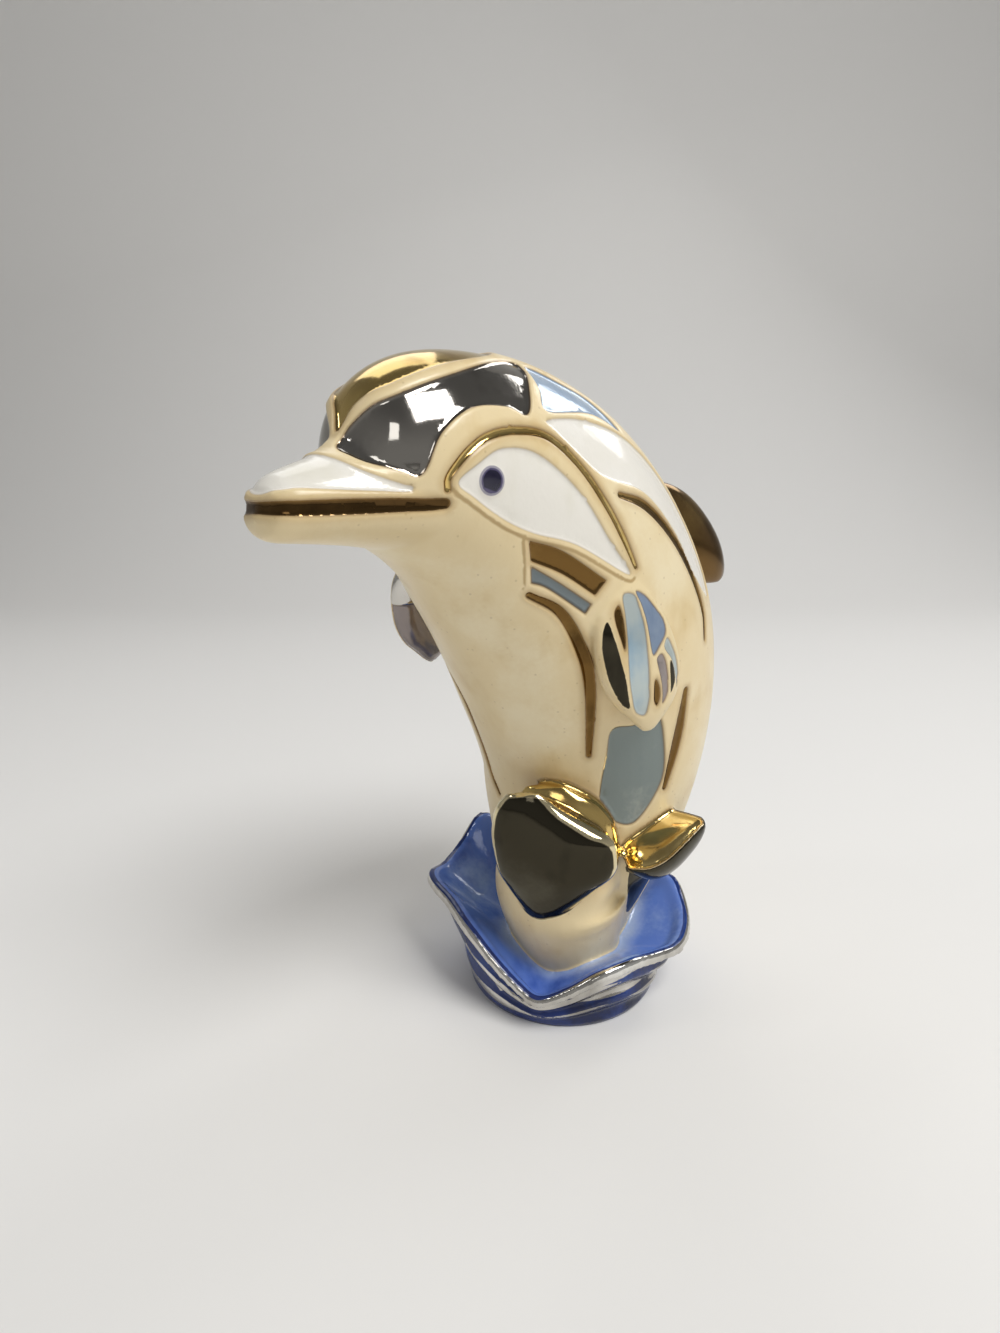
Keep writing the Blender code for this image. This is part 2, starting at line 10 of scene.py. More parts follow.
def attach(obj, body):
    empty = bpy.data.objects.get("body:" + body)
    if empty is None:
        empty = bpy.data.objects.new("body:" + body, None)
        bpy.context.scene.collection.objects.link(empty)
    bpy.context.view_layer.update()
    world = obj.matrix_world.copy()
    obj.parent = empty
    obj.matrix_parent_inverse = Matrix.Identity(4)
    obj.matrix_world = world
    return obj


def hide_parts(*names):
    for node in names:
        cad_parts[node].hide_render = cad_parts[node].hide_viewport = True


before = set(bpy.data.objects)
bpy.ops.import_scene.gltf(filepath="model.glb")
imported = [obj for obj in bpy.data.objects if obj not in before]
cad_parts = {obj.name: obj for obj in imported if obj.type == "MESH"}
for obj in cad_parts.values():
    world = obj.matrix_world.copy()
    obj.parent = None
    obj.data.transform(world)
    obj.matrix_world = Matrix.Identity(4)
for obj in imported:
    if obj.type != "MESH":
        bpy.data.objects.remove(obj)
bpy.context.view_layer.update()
print("frame loaded")

photoView = {
    "place": (0.1004, -0.1434, 0.1210),
    "heading": 40.22,      # degrees from straight along +Y towards -X
    "tiltDown": 13.13,
    "focalPixels": 755.0,
    "pixelsHigh": 1333,    # the height of the photograph
}


def addCamera(view):
    data = bpy.data.cameras.new("photoCamera")
    data.sensor_fit = "VERTICAL"
    data.sensor_height = 36.0
    data.lens = data.sensor_height * view["focalPixels"] / view["pixelsHigh"]
    data.clip_start = 0.005
    camera = bpy.data.objects.new("photoCamera", data)
    camera.location = view["place"]
    camera.rotation_euler = (math.radians(90 - view["tiltDown"]), 0, math.radians(view["heading"]))
    bpy.context.scene.collection.objects.link(camera)
    bpy.context.scene.camera = camera


addCamera(photoView)
print("camera placed")

# The forms repeat the part's own sizes, in millimetres, and are made in finer mesh.
mm = 0.001

overallSize = {"width": 68.5, "length": 142.5, "height": 146.0}  # the whole is stretched to these

bodyShape = {
    # back line (y, z), belly line (y, z), half width, from the forehead down into the wave
    "stations": (
        ((-65.2, 128.8), (-61.0, 113.0), 8.4),
        ((-60.8, 138.0), (-57.0, 110.5), 12.4),
        ((-51.0, 143.8), (-51.0, 107.0), 16.1),
        ((-36.1, 145.8), (-45.0, 102.0), 19.0),
        ((-18.4, 144.2), (-39.0, 94.0), 22.6),
        ((-0.8, 138.0), (-33.0, 86.0), 26.3),
        ((16.5, 125.7), (-28.0, 78.0), 28.9),
        ((31.0, 107.7), (-23.5, 69.5), 30.4),
        ((37.5, 87.0), (-19.0, 61.0), 30.0),
        ((37.0, 66.0), (-16.0, 53.0), 28.5),
        ((32.5, 46.0), (-15.0, 43.0), 25.5),
        ((26.5, 29.0), (-14.5, 31.0), 20.5),
        ((19.0, 14.0), (-12.5, 17.0), 15.0),
        ((13.0, 4.0), (-8.0, 4.0), 11.0),
    ),
    "foreheadBulge": 3.8, "bulgeTowards": (0, -1, -0.15), "bulgeAngles": (20, 40, 65),
}
beakShape = {
    # y, z of the lip line, half width, rise above it, drop below it
    "stations": (
        (-46.0, 119.0, 15.0, 12.0, 10.5),
        (-54.0, 118.8, 13.3, 11.0, 8.6),
        (-62.0, 118.4, 11.2, 9.8, 6.8),
        (-68.5, 118.1, 9.3, 8.6, 5.8),
        (-74.0, 117.9, 7.8, 7.1, 5.2),
        (-77.5, 117.7, 6.4, 5.8, 4.7),
        (-79.4, 117.4, 4.6, 4.2, 3.6),
    ),
    "tip": (-80.4, 117.2),
}
flipperOutline = (
    (0, 4, 2), (0.1, 6.5, 3.5), (0.2, 8.9, 5.2), (0.31, 10, 7.3), (0.45, 10.2, 8.8),
    (0.6, 9.6, 9.4), (0.75, 7.6, 8.6), (0.85, 5, 6.5), (0.93, 3, 3.6), (1, 1, 1),
)
# How every fin thins out: shares of its length and of its full thickness.
finForm = {"ends": 0.02, "thinnest": 0.35, "bluntness": 6}
finShapes = {
    # outline rows: share of the length, half width ahead, half width behind
    "dorsalFin": {
        "root": (1.0, 24.0, 108.0), "tip": (10.0, 62.5, 100.0), "arch": (0, 0, 5),
        "across": (0, 0.15, -1), "facing": (1, 0, 0), "thickness": (4.8, 4.8),
        "outline": ((0, 15, 15), (0.35, 14.2, 14.2), (0.65, 12.2, 12.2), (0.88, 8.1, 8.1), (1, 2.7, 2.7)),
    },
    "leftFlipper": {
        "root": (25.5, -16.5, 105.0), "tip": (29.0, -12.0, 73.0), "arch": (0, 0, 0),
        "across": (0.375, 0.911, 0.169), "facing": (0.90, -0.38, 0.05), "thickness": (3.4, 3.4),
        "outline": flipperOutline,
    },
    "rightFlipper": {
        "root": (-23.5, -22.5, 109.5), "tip": (-32.5, -12.5, 78.5), "arch": (0, 0, 0),
        "across": (0.42, 0.90, 0.13), "facing": (-0.90, 0.15, 0.40), "thickness": (3.4, 3.4),
        "outline": flipperOutline,
    },
}
tailTurn = 35.0  # degrees that the tail and the wave are turned to the dolphin's left
# Places below are (sideways, forwards, up) in that turned frame.
tailShapes = {
    "curl": (  # the bowl of the tail stock, with its radius
        (1.8, 3.0, 3.0, 9.5),
        (1.6, 4.4, 13.0, 12.8),
        (0.2, 5.4, 24.0, 15.8),
        (0.2, 8.4, 33.0, 15.8),
        (4.5, 12.5, 40.0, 11.5),
        (8.5, 17.0, 45.0, 5.5),
    ),
    "rightFluke": {
        "root": (-3.5, 20.0, 25.0), "tip": (-8.0, 25.5, 59.0), "arch": (0, 0, 0),
        "across": (1, 0, 0.10), "facing": (-0.1, 1, -0.12), "thickness": (5.0, 5.0),
        "outline": (
            (0, 2, 2), (0.1, 4.4, 5.2), (0.3, 7.6, 13.2), (0.43, 9.2, 17.4), (0.64, 9.4, 17.6),
            (0.76, 8.8, 12.4), (0.88, 7.4, 6.6), (1, 4, 2.5),
        ),
    },
    "rightFlukeDeck": {
        "root": (-1.0, 14.0, 24.0), "tip": (-4.5, 19.5, 59.0), "arch": (0, 0, 0),
        "across": (1, 0, 0.10), "facing": (-0.1, 1, -0.12), "thickness": (5.0, 3.6),
        "outline": (
            (0, 2, 2), (0.1, 4, 5), (0.3, 6, 11.5), (0.45, 7.5, 15.8), (0.64, 8, 15.6),
            (0.76, 8, 14), (0.88, 7.2, 10.6), (1, 4, 4),
        ),
    },
    "leftFluke": {
        "root": (13.0, 15.0, 42.0), "tip": (31.3, 16.0, 49.5), "arch": (0, 0, 0),
        "across": (0, -1, 0.15), "facing": (-0.30, 0.55, 1), "thickness": (2.4, 10.5),
        "outline": ((0, 6.5, 6.5), (0.25, 8.5, 8.5), (0.5, 7.6, 7.6), (0.75, 4.6, 4.6), (1, 0.8, 0.8)),
    },
}
waveShape = {
    "footRadius": 21.5, "footHeight": 1.2, "wallRadius": 23.6, "flare": 1.6, "cutDepth": 2.0,
    "rimRoll": 1.5, "wallTop": 0.14, "deckHeight": 11.0,
    "ripples": 2.6, "rippleHeight": 0.8, "rippleBlunt": 0.7,  # how many there are between rim and foot
    # how the ripples sway round the wall: swings in one turn, size in ripples, start
    "sway": ((2, 0.16, 0.6), (3, 0.10, 0.0)),
    # bearing from the front in degrees, distance from the centre, height
    "rim": (
        (-180, 30.0, 18.0), (-155, 30.0, 25.0), (-133, 32.0, 32.0), (-119, 32.8, 26.0), (-106, 33.6, 23.0),
        (-92, 34.5, 24.0), (-72, 29.5, 23.0), (-52, 28.0, 20.5), (-34, 26.5, 14.5), (-22, 26.0, 10.5),
        (-11, 26.5, 8.5), (4, 26.5, 11.5), (20, 27.0, 15.5), (38, 27.0, 16.5), (55, 27.5, 15.0),
        (72, 30.5, 14.5), (88, 31.5, 17.5), (104, 30.0, 22.5), (122, 28.0, 19.0), (150, 29.0, 13.0),
    ),
    # from the rim inwards: shares of its distance and the roll, then of its height, the roll and the deck
    "crest": (
        (1, 0.5, 1, -1, 0), (1, 0, 1, 0.5, 0), (1, -1.5, 1, 1 / 3, 0),
        (1, -2.8, 1, -1, 0), (0.7, -1, 0.55, 0, 0.35), (0.4, 0, 0.2, 0, 0.8),
    ),
}
meshing = {
    "ringPoints": 64, "finRings": 24, "wallRings": 20, "wavePoints": 180,
    "curveSteps": 8,   # between two stations of a form
    "lineSteps": 6,    # between two points of a field or of the beak
    "grain": 0.48, "smoothing": 8, "triangles": 190000,
}


def smoothRows(rows, steps):
    rows = np.asarray(rows, float)
    ends = np.vstack([2 * rows[0] - rows[1], rows, 2 * rows[-1] - rows[-2]])
    out = []
    for i in range(len(rows) - 1):
        a, b, c, d = ends[i:i + 4]
        for t in np.arange(steps) / steps:
            bend = (2 * a - 5 * b + 4 * c - d) * t**2 + (3 * b - a - 3 * c + d) * t**3
            out.append(b + 0.5 * ((c - a) * t + bend))
    out.append(rows[-1])
    return np.array(out)


def loft(rings, start, end):
    bm = bmesh.new()
    made = [[bm.verts.new(Vector(point) * mm) for point in ring] for ring in rings]
    count = len(made[0])
    for first, second in zip(made, made[1:]):
        for i in range(count):
            j = (i + 1) % count
            bm.faces.new((first[i], first[j], second[j], second[i]))
    for ring, tip in ((made[0], start), (made[-1], end)):
        apex = bm.verts.new(Vector(tip) * mm)
        for i in range(count):
            bm.faces.new((ring[(i + 1) % count], ring[i], apex))
    bmesh.ops.recalc_face_normals(bm, faces=bm.faces)
    return bm


def angles(count):
    return np.arange(count) / count * 2 * math.pi


def turned(sideways, forwards, up):
    return np.array(Matrix.Rotation(math.radians(tailTurn), 3, "Z") @ Vector((sideways, -forwards, up)))


def unit(vector):
    return vector / np.linalg.norm(vector)


def makeBody():
    rings = []
    rows = [(*back, *belly, half) for back, belly, half in bodyShape["stations"]]
    around = angles(meshing["ringPoints"])
    for backY, backZ, bellyY, bellyZ, half in smoothRows(rows, meshing["curveSteps"]):
        centre = np.array([0, (backY + bellyY) / 2, (backZ + bellyZ) / 2])
        reach = np.array([0, (backY - bellyY) / 2, (backZ - bellyZ) / 2])
        side = np.array([half, 0, 0])
        rings.append([centre + reach * math.cos(a) + side * math.sin(a) for a in around])
    first = np.array(rings[0])
    middle = first.mean(0)
    ahead = np.array(bodyShape["bulgeTowards"]) * bodyShape["foreheadBulge"]
    bulge = []
    for a in np.radians(bodyShape["bulgeAngles"]):
        bulge.append([middle + (p - middle) * math.sin(a) + ahead * math.cos(a) for p in first])
    return loft(bulge + rings, middle + ahead, np.array(rings[-1]).mean(0))


def makeBeak():
    rings = []
    for y, z, half, rise, drop in smoothRows(beakShape["stations"], meshing["lineSteps"]):
        ring = []
        for a in angles(meshing["ringPoints"]):
            reach = rise if math.cos(a) > 0 else drop
            ring.append((half * math.sin(a), y, z + reach * math.cos(a)))
        rings.append(ring)
    return loft(rings, (0, *beakShape["stations"][0][:2]), (0, *beakShape["tip"]))


def straight(x, y, z):
    return np.array([x, y, z], float)


# where a fin starts, and its directions along, to the side and out of its front
def finFrame(shape, place):
    root, tip, across, facing = (place(*shape[k]) for k in ("root", "tip", "across", "facing"))
    along = unit(tip - root)
    out = unit(facing - along * (facing @ along))
    return root, along, unit(across - out * (across @ out)), out


def makeFin(shape, place):
    root, _, side, out = finFrame(shape, place)
    tip, arch = place(*shape["tip"]), place(*shape["arch"])
    outline = smoothRows(shape["outline"], meshing["curveSteps"])
    widest = max(row[1] + row[2] for row in shape["outline"])
    ends, thinnest = finForm["ends"], finForm["thinnest"]
    rings = []
    for t in np.linspace(ends, 1 - ends, meshing["finRings"]):
        left, right = (np.interp(t, outline[:, 0], outline[:, k]) for k in (1, 2))
        fullness = thinnest + (1 - thinnest) * (left + right) / widest
        plump = fullness * math.sqrt(1 - abs(2 * t - 1) ** finForm["bluntness"])
        centre = root + (tip - root) * t + arch * math.sin(math.pi * t) + side * (right - left) / 2
        ring = []
        for a in angles(meshing["ringPoints"] // 2):
            thick = shape["thickness"][int(math.sin(a) < 0)] * plump
            ring.append(centre + side * (left + right) / 2 * math.cos(a) + out * thick * math.sin(a))
        rings.append(ring)
    return loft(rings, root, tip)


def makeCurl():
    rows = smoothRows([(*turned(*row[:3]), row[3]) for row in tailShapes["curl"]], meshing["curveSteps"])
    around = angles(meshing["ringPoints"] // 2)
    rings = []
    for i, (x, y, z, radius) in enumerate(rows):
        ahead = unit(rows[min(i + 1, len(rows) - 1)][:3] - rows[max(i - 1, 0)][:3])
        side = turned(1, 0, 0)
        side = unit(side - ahead * (side @ ahead))
        up = np.cross(side, ahead)
        centre = np.array([x, y, z])
        rings.append([centre + radius * (side * math.cos(a) + up * math.sin(a)) for a in around])
    return loft(rings, rows[0][:3], rows[-1][:3])


def rimAt(bearings):
    rows = np.array([waveShape["rim"][-1], *waveShape["rim"], *waveShape["rim"][:2]], float)
    rows[0, 0] -= 360
    rows[-2:, 0] += 360
    path = smoothRows(rows, meshing["curveSteps"])
    return np.stack([np.interp(bearings, path[:, 0], path[:, k]) for k in (1, 2)], 1)


def rippleTurns(share, bearing):
    turns = waveShape["ripples"] * share
    for swings, size, start in waveShape["sway"]:
        turns = turns + size * np.sin(swings * bearing + start)
    return turns


# place on the outer wall, from the rim (share 0) down to the foot (share 1)
def wallAt(share, bearing, rimReach, rimHeight):
    wall = waveShape["wallRadius"]
    fade = np.sin(math.pi * share) ** waveShape["rippleBlunt"]
    swell = np.cos(2 * math.pi * rippleTurns(share, bearing)) * fade
    reach = wall + (rimReach - wall) * (1 - share) ** waveShape["flare"] + waveShape["rippleHeight"] * swell
    return reach, rimHeight * (1 - share) + waveShape["footHeight"] * share


def makeWave():
    bearings = np.arange(meshing["wavePoints"]) * 360 / meshing["wavePoints"] - 180
    rim = rimAt(bearings)
    roll, deck, cut = (waveShape[k] for k in ("rimRoll", "deckHeight", "cutDepth"))

    def ring(place):
        points = []
        for b, (r, z) in zip(np.radians(bearings), rim):
            reach, height = place(b, r, z)
            points.append(turned(reach * math.sin(b), reach * math.cos(b), height))
        return points

    rings = [ring(lambda b, r, z: (waveShape["footRadius"], -cut))]
    for share in np.linspace(1.0, waveShape["wallTop"], meshing["wallRings"]):  # the roll takes what is above
        rings.append(ring(lambda b, r, z: wallAt(share, b, r, z)))
    for out, outRoll, up, upRoll, decks in waveShape["crest"]:
        rings.append(ring(lambda b, r, z: (out * r + outRoll * roll, up * z + upRoll * roll + decks * deck)))
    return loft(rings, (0, 0, -cut), (0, 0, deck))


forms = {"body": makeBody(), "beak": makeBeak(), "curl": makeCurl(), "wave": makeWave()}
for name, shape in finShapes.items():
    forms[name] = makeFin(shape, straight)
for name in ("rightFluke", "rightFlukeDeck", "leftFluke"):
    forms[name] = makeFin(tailShapes[name], turned)
formTrees = {name: BVHTree.FromBMesh(form) for name, form in forms.items()}
print("forms made:", ", ".join(forms))


def applyModifiers(figure):
    done = bpy.data.meshes.new_from_object(figure.evaluated_get(bpy.context.evaluated_depsgraph_get()))
    figure.modifiers.clear()
    figure.data = done


def joinForms():
    joined = bmesh.new()
    for form in forms.values():
        mesh = bpy.data.meshes.new("form")
        form.to_mesh(mesh)
        form.free()
        joined.from_mesh(mesh)
        bpy.data.meshes.remove(mesh)
    mesh = bpy.data.meshes.new("dolphin")
    joined.to_mesh(mesh)
    joined.free()
    figure = bpy.data.objects.new("dolphin", mesh)
    bpy.context.scene.collection.objects.link(figure)
    skin = figure.modifiers.new("skin", "REMESH")
    skin.mode = "VOXEL"
    skin.voxel_size = meshing["grain"] * mm
    soften = figure.modifiers.new("soften", "SMOOTH")
    soften.iterations = meshing["smoothing"]
    applyModifiers(figure)
    return figure


def levelFoot(figure):
    level = bmesh.new()
    level.from_mesh(figure.data)
    cut = bmesh.ops.bisect_plane(
        level, geom=level.verts[:] + level.edges[:] + level.faces[:],
        plane_co=(0, 0, 0), plane_no=(0, 0, 1), clear_inner=True,
    )
    edges = [part for part in cut["geom_cut"] if isinstance(part, bmesh.types.BMEdge)]
    bmesh.ops.contextual_create(level, geom=edges)
    bmesh.ops.triangulate(level, faces=[face for face in level.faces if len(face.verts) > 4])
    level.to_mesh(figure.data)
    level.free()


figure = joinForms()
print("skin made:", len(figure.data.vertices), "points")


# Points on the skin in millimetres. The left side is drawn, and the right side mirrors it.
ornament = {
    "mouthStripe": {"finish": "mouth", "width": (1.8, 2.2, 2.4, 2.4, 2.2, 1.8), "line": (
        (0, -80, 118.2), (5.3, -77.9, 118.2), (7.8, -72.7, 118.3), (9.7, -66.7, 118.4),
        (11.7, -60.3, 118.5), (14, -54.2, 118.4),
    )},
    "eyeArc": {"finish": "gold", "width": (1.1, 1.1, 1.2, 1.3, 1.3, 1.4, 1.4, 1.4, 1.4, 1.3, 0.9), "line": (
        (14.8, -54.3, 120.7), (15.1, -54.5, 122.3), (15.7, -53.3, 124.4), (16.3, -50.7, 127.1),
        (16.9, -46.9, 129.4), (17.6, -41.1, 130.5), (19.1, -34.1, 129.8), (21.7, -27.7, 124.9),
        (24.2, -22.6, 118.2), (25.9, -18.7, 111.7), (26.9, -15.9, 106.5),
    )},
    "eyePatch": {"finish": "white", "area": (
        (15.6, -52.7, 121.8), (16.8, -49.5, 124.8), (17.7, -44.4, 127.5), (19.4, -37, 126.7),
        (22.4, -28.6, 120.4), (24.9, -22.4, 111.9), (26.5, -17.4, 105.1), (22.5, -29.3, 111.1),
        (19.1, -37.8, 113.4), (17.1, -43.6, 115.9), (16.1, -49.7, 119.5),
    )},
    "cheekGold": {"finish": "darkReflectionGold", "corners": (0, 2, 3, 5), "area": (
        (18.5, -38.4, 112.1), (21.2, -32, 110.1), (24.7, -22.7, 104.3), (23.5, -24.6, 101.6),
        (20.8, -31.3, 105.9), (18.1, -37.3, 108.5),
    )},
    "cheekBlue": {"finish": "steel", "corners": (0, 2, 3, 5), "area": (
        (17.9, -37.1, 107.6), (20.2, -31.7, 104.4), (23.1, -25, 99.9), (22.2, -25.7, 98),
        (18.9, -33.2, 103.2), (17.3, -36.2, 104.4),
    )},
    "platinumBrow": {"finish": "platinum", "area": (
        (2.1, -64.8, 129.9), (5.3, -62.4, 133.3), (8.8, -58.2, 135.6), (10.8, -48.5, 139.1),
        (8.6, -32.6, 143), (10.9, -30.9, 141.6), (14.6, -33.8, 138), (17.1, -37.3, 133.3),
        (16, -41.5, 134.4), (14.8, -48.9, 133.7), (14.4, -55.2, 129.5), (13.5, -58.5, 123),
        (11.2, -61.7, 123.7), (5.8, -66, 126.3), (2.2, -66.6, 127.5),
    )},
    "foreheadLeaf": {"finish": "gold", "middle": (
        (0, -65.2, 130), (2.2, -63.2, 133.5), (4.4, -61.3, 135.5), (7, -58, 137.2), (8.6, -50.5, 140),
        (8, -39.3, 142.7), (4.8, -33, 144.5), (0, -31, 145.2),
    )},
    "beakTop": {"finish": "white", "middle": (
        (0, -79, 120), (3.6, -77.6, 120.4), (5.2, -75.9, 120.8), (7.7, -70.6, 120.8),
        (9.9, -64.7, 120.7), (12.6, -59.3, 120.9), (10.2, -62.9, 122.7), (7.3, -66.3, 124),
        (3.5, -68.5, 125.2), (0, -69, 125.5),
    )},
    "nape": {"finish": "paleBlue", "area": (
        (9.5, -29, 142.3), (12.0, -21.4, 140.5), (13.6, -13.5, 137.8), (18.2, -9.6, 132.2),
        (17.3, -18, 134.8), (17.4, -32, 134.2), (14.5, -31, 138.2),
    )},
    "backBand": {"finish": "white", "area": (
        (18.1, -32.8, 132.7), (18.5, -21.1, 133.2), (19.4, -8.5, 130.6), (21.2, 2, 125),
        (23.2, 10, 117), (25.4, 15.5, 107.5), (27.6, 16.5, 98), (28.2, 8.2, 101.6), (26.4, -0.4, 112.4),
        (24.7, -9.6, 120.1), (23.2, -19.8, 122.6), (21.9, -24.4, 124.6), (19.1, -31.6, 130.8),
    )},
    "backSlash": {"finish": "darkReflectionGold", "width": (1.1, 2.0, 2.3, 2.2, 1.7, 0.9), "line": (
        (24.5, -18.7, 120), (25.6, -11.2, 118), (26.9, -3.4, 112.8), (28.2, 3.7, 105.1),
        (29.3, 8.8, 96), (30, 9.2, 89.2),
    )},
    "bellyLine": {"finish": "darkReflectionGold", "side": 1, "width": (1.2, 1.9, 2.3, 2.3, 1.1), "line": (
        (16.5, -35.8, 102.1), (19.4, -30, 98.6), (20.5, -24.7, 91.3), (20.2, -20.5, 82.6),
        (16.8, -15.3, 65.9),
    )},
    "bellyLineRight": {"finish": "darkReflectionGold", "side": -1, "width": (1.2, 1.9, 2.1, 2.0, 1.9, 1.6, 0.9), "line": (
        (-16.5, -35.8, 102.1), (-19, -30, 97), (-17.5, -25.5, 86), (-12, -23, 75), (-12.5, -17, 64),
        (-12.4, -13.7, 55), (-9.4, -13.9, 50),
    )},
    "flankPanel": {"finish": "greyBlue", "area": (
        (21.6, -13.9, 72.3), (24.8, -9.7, 73), (29.5, -6, 74.5), (28, -1.5, 66), (26, 0, 57.5),
        (22.5, -4, 48.5), (19, -8.1, 49.3), (17.1, -10.8, 54.7), (19.7, -12.8, 65.8),
    )},
    "flankSlash": {"finish": "darkReflectionGold", "width": (1.6, 2.7, 1.0), "line": (
        (29.6, 2.0, 79), (28.4, 2.0, 68), (26.4, 1.2, 56),
    )},
    # a thin line of painted shade beside the cheek panel's cream border
    "throat": {"finish": "throat", "width": (0.7, 0.8, 0.5), "line": (
        (17.8, -40.1, 112.6), (16.6, -38.8, 107.3), (15.8, -37.6, 104),
    )},
    # a soft line of painted shade along the cream border under the eye patch
    "lowBorderShade": {"finish": "borderShade", "width": (0.6, 0.8, 0.9, 0.9, 0.9, 0.8, 0.5), "line": (
        (14.5, -54.9, 120.4), (15.9, -49.5, 118.5), (16.9, -43.3, 114.6), (18.6, -38.8, 112.9),
        (22.5, -29.2, 110), (25.7, -20, 104.7), (28.1, -14.4, 103.2),
    )},
}
# On a flipper: (across towards the tail, along towards the tip).
flipperOrnament = {
    "band": {"finish": "palest", "area": (
        (-3.2, 2.6), (-3.8, 6.8), (-4.2, 11.5), (-4.6, 15.2), (-4.9, 19.3), (-4.8, 23.4), (-4.3, 27.5),
        (-2.0, 28.3), (-0.9, 25.0), (-0.6, 21.9), (-0.3, 18.8), (-0.1, 15.6), (0.1, 12.5), (0.2, 9.3),
        (0.0, 6.1), (-0.4, 3.2),
    )},
    "wedge": {"finish": "deepBlue", "area": (
        (0.3, 2.6), (2.9, 3.9), (5.2, 6.3), (6.8, 9.4), (6.1, 12.3), (3.3, 14.6), (1.3, 16.1), (0.9, 14.6),
        (0.9, 12.0), (0.9, 8.9), (0.7, 5.6),
    )},
    "petal": {"finish": "smoke", "area": (
        (-8.4, 6.9), (-10.1, 9.6), (-10.7, 12.9), (-10.5, 16.1), (-9.9, 19.8), (-8.8, 22.9), (-7.5, 25.4),
        (-5.8, 26.3), (-5.7, 23.7), (-5.7, 21.2), (-5.9, 18.6), (-6.3, 15.8), (-6.7, 12.9), (-7.2, 10.2),
        (-7.6, 8.2),
    )},
    "thinPetal": {"finish": "darkReflectionGold", "area": (
        (-4.8, 4.4), (-6.0, 5.6), (-6.1, 8.0), (-5.6, 11.0), (-5.1, 13.6), (-4.6, 11.4), (-4.4, 8.8),
        (-4.4, 6.3),
    )},
    "goldPetal": {"finish": "darkReflectionGold", "area": (
        (1.0, 21.0), (1.8, 22.4), (1.9, 25.0), (1.1, 26.8), (0.4, 25.5), (0.5, 23.2),
    )},
    "greenPetal": {"finish": "smoke", "area": (
        (5.6, 18.0), (6.6, 20.2), (6.6, 22.8), (5.6, 24.6), (4.9, 25.2), (5.0, 22.9), (5.1, 20.1),
    )},
    "greyPetal": {"finish": "mauve", "area": (
        (2.0, 16.9), (3.5, 16.3), (4.3, 18.0), (4.5, 20.6), (4.4, 23.1), (3.8, 25.6), (2.6, 26.8),
        (2.6, 24.5), (2.5, 21.7), (2.1, 19.1),
    )},
    "silverPetal": {"finish": "palest", "area": (
        (6.3, 13.6), (7.7, 16.0), (8.7, 18.7), (8.9, 22.0), (8.1, 25.0), (7.4, 22.4), (6.9, 20.0),
        (6.1, 17.8), (4.9, 16.2), (4.6, 14.9),
    )},
}
hullFoot = {  # the dark underside of the left fluke runs down the side of the bowl
    "outward": (1, 0.1, 0),
    "area": (
        (19.5, -3.0, 37.0), (19.5, -1.7, 33.5), (19.4, -0.9, 30), (18.4, 0.4, 26), (17.6, 2.0, 22.5),
        (17.2, 4.2, 20.0), (17.5, 6.5, 23.0), (18.5, 8.5, 28.0), (19.5, 9.5, 34.0), (20.5, 8.0, 39.0),
        (21.0, 2.0, 39.0),
    ),
}
eye = {"centre": (17.5, -46.6, 122.2), "pupil": 1.8, "iris": 2.1, "ring": 2.5, "lift": 0.25, "slope": 0.8}
# How deep each finish lies in the skin. A later one covers an earlier one.
recess = {
    # the two painted shade lines are coloured only, not carved
    "borderShade": 0, "throat": 0,
    "white": 0.6, "palest": 0.45, "deepBlue": 0.45, "mauve": 0.45,
    "paleBlue": 0.6, "steel": 0.6, "greyBlue": 0.6, "mouth": 0.5,
    "darkReflectionGold": 0.65, "gold": 0.65, "platinum": 0.65,
    "rimHighlightGold": 0, "smoke": 0, "silver": 0,
}
recessSlope = 1.0  # width of the slope round a field
# Where a lustre ends on a fin: 1 is skin that faces as the fin does, 0 is its edge.
lustreLimits = {
    "flipperFront": 0.25, "flipperBack": 0.15,
    # the divide between the painted dark and bright reflections on the far flipper's back
    "flipperDivide": 13.0,  # millimetres from the root, where mauve gives way to silver
    # between kite and kiteRim the fluke's rim takes the painted highlight in pale gold
    "kite": 0.72, "kiteRim": -0.1,
    "leftDeck": 0.6, "leftHull": 0.5,
    "softness": 3.0,        # millimetres that a gap changes by, from 0 to 1
}
# Strokes of silver on the wave's outer wall: bearing from the front, share of the way down, width.
waveStrokes = (
    ((-14, 0.30, 0.8), (2, 0.36, 2.4), (20, 0.44, 3.4), (38, 0.50, 2.6), (52, 0.52, 0.8)),
    ((-62, 0.42, 0.7), (-48, 0.52, 1.5), (-36, 0.66, 1.0)),
    ((60, 0.62, 0.6), (78, 0.66, 1.4), (96, 0.60, 0.7)),
)
# The brushed silver, with widths in millimetres: on the rim it is thickest at one bearing.
brushedSilver = {
    "rimWidth": 1.3, "rimExtra": 1.2, "thickestAt": 38, "thickSpread": 42, "waver": 0.3, "wavers": 5,
    "rimOut": 0.8, "rimDrop": 0.7, "dropShare": 0.6,
    "rippleWidth": 0.55,
    # size, swings in one turn, swing on the way down, start
    "rippleWaver": ((0.45, 3, 4, 1.0), (0.25, 7, 0, 0.0)),
    "wallFrom": 1.3, "clearOfRim": 0.12, "clearOfFoot": 0.03,
}
finishes = tuple(recess)
farAway = 9.0      # gaps are only measured up to here
fieldMargin = 3.0  # and round one field up to here


def smoothLoop(points):
    steps = meshing["lineSteps"]
    around = np.vstack([points[-1], points, points[0], points[1]])
    return smoothRows(around, steps)[steps:-steps - 1]


def corneredLoop(points, corners):  # each side curves, and the corners stay
    around = np.vstack([points, points[:1]])
    stops = (*corners, len(points))
    sides = [smoothRows(around[a:b + 1], meshing["lineSteps"])[:-1] for a, b in zip(stops, stops[1:])]
    return np.vstack(sides)


def onSkin(points, tree):
    return np.array([np.array(tree.find_nearest(Vector(p) * mm)[0]) / mm for p in points])


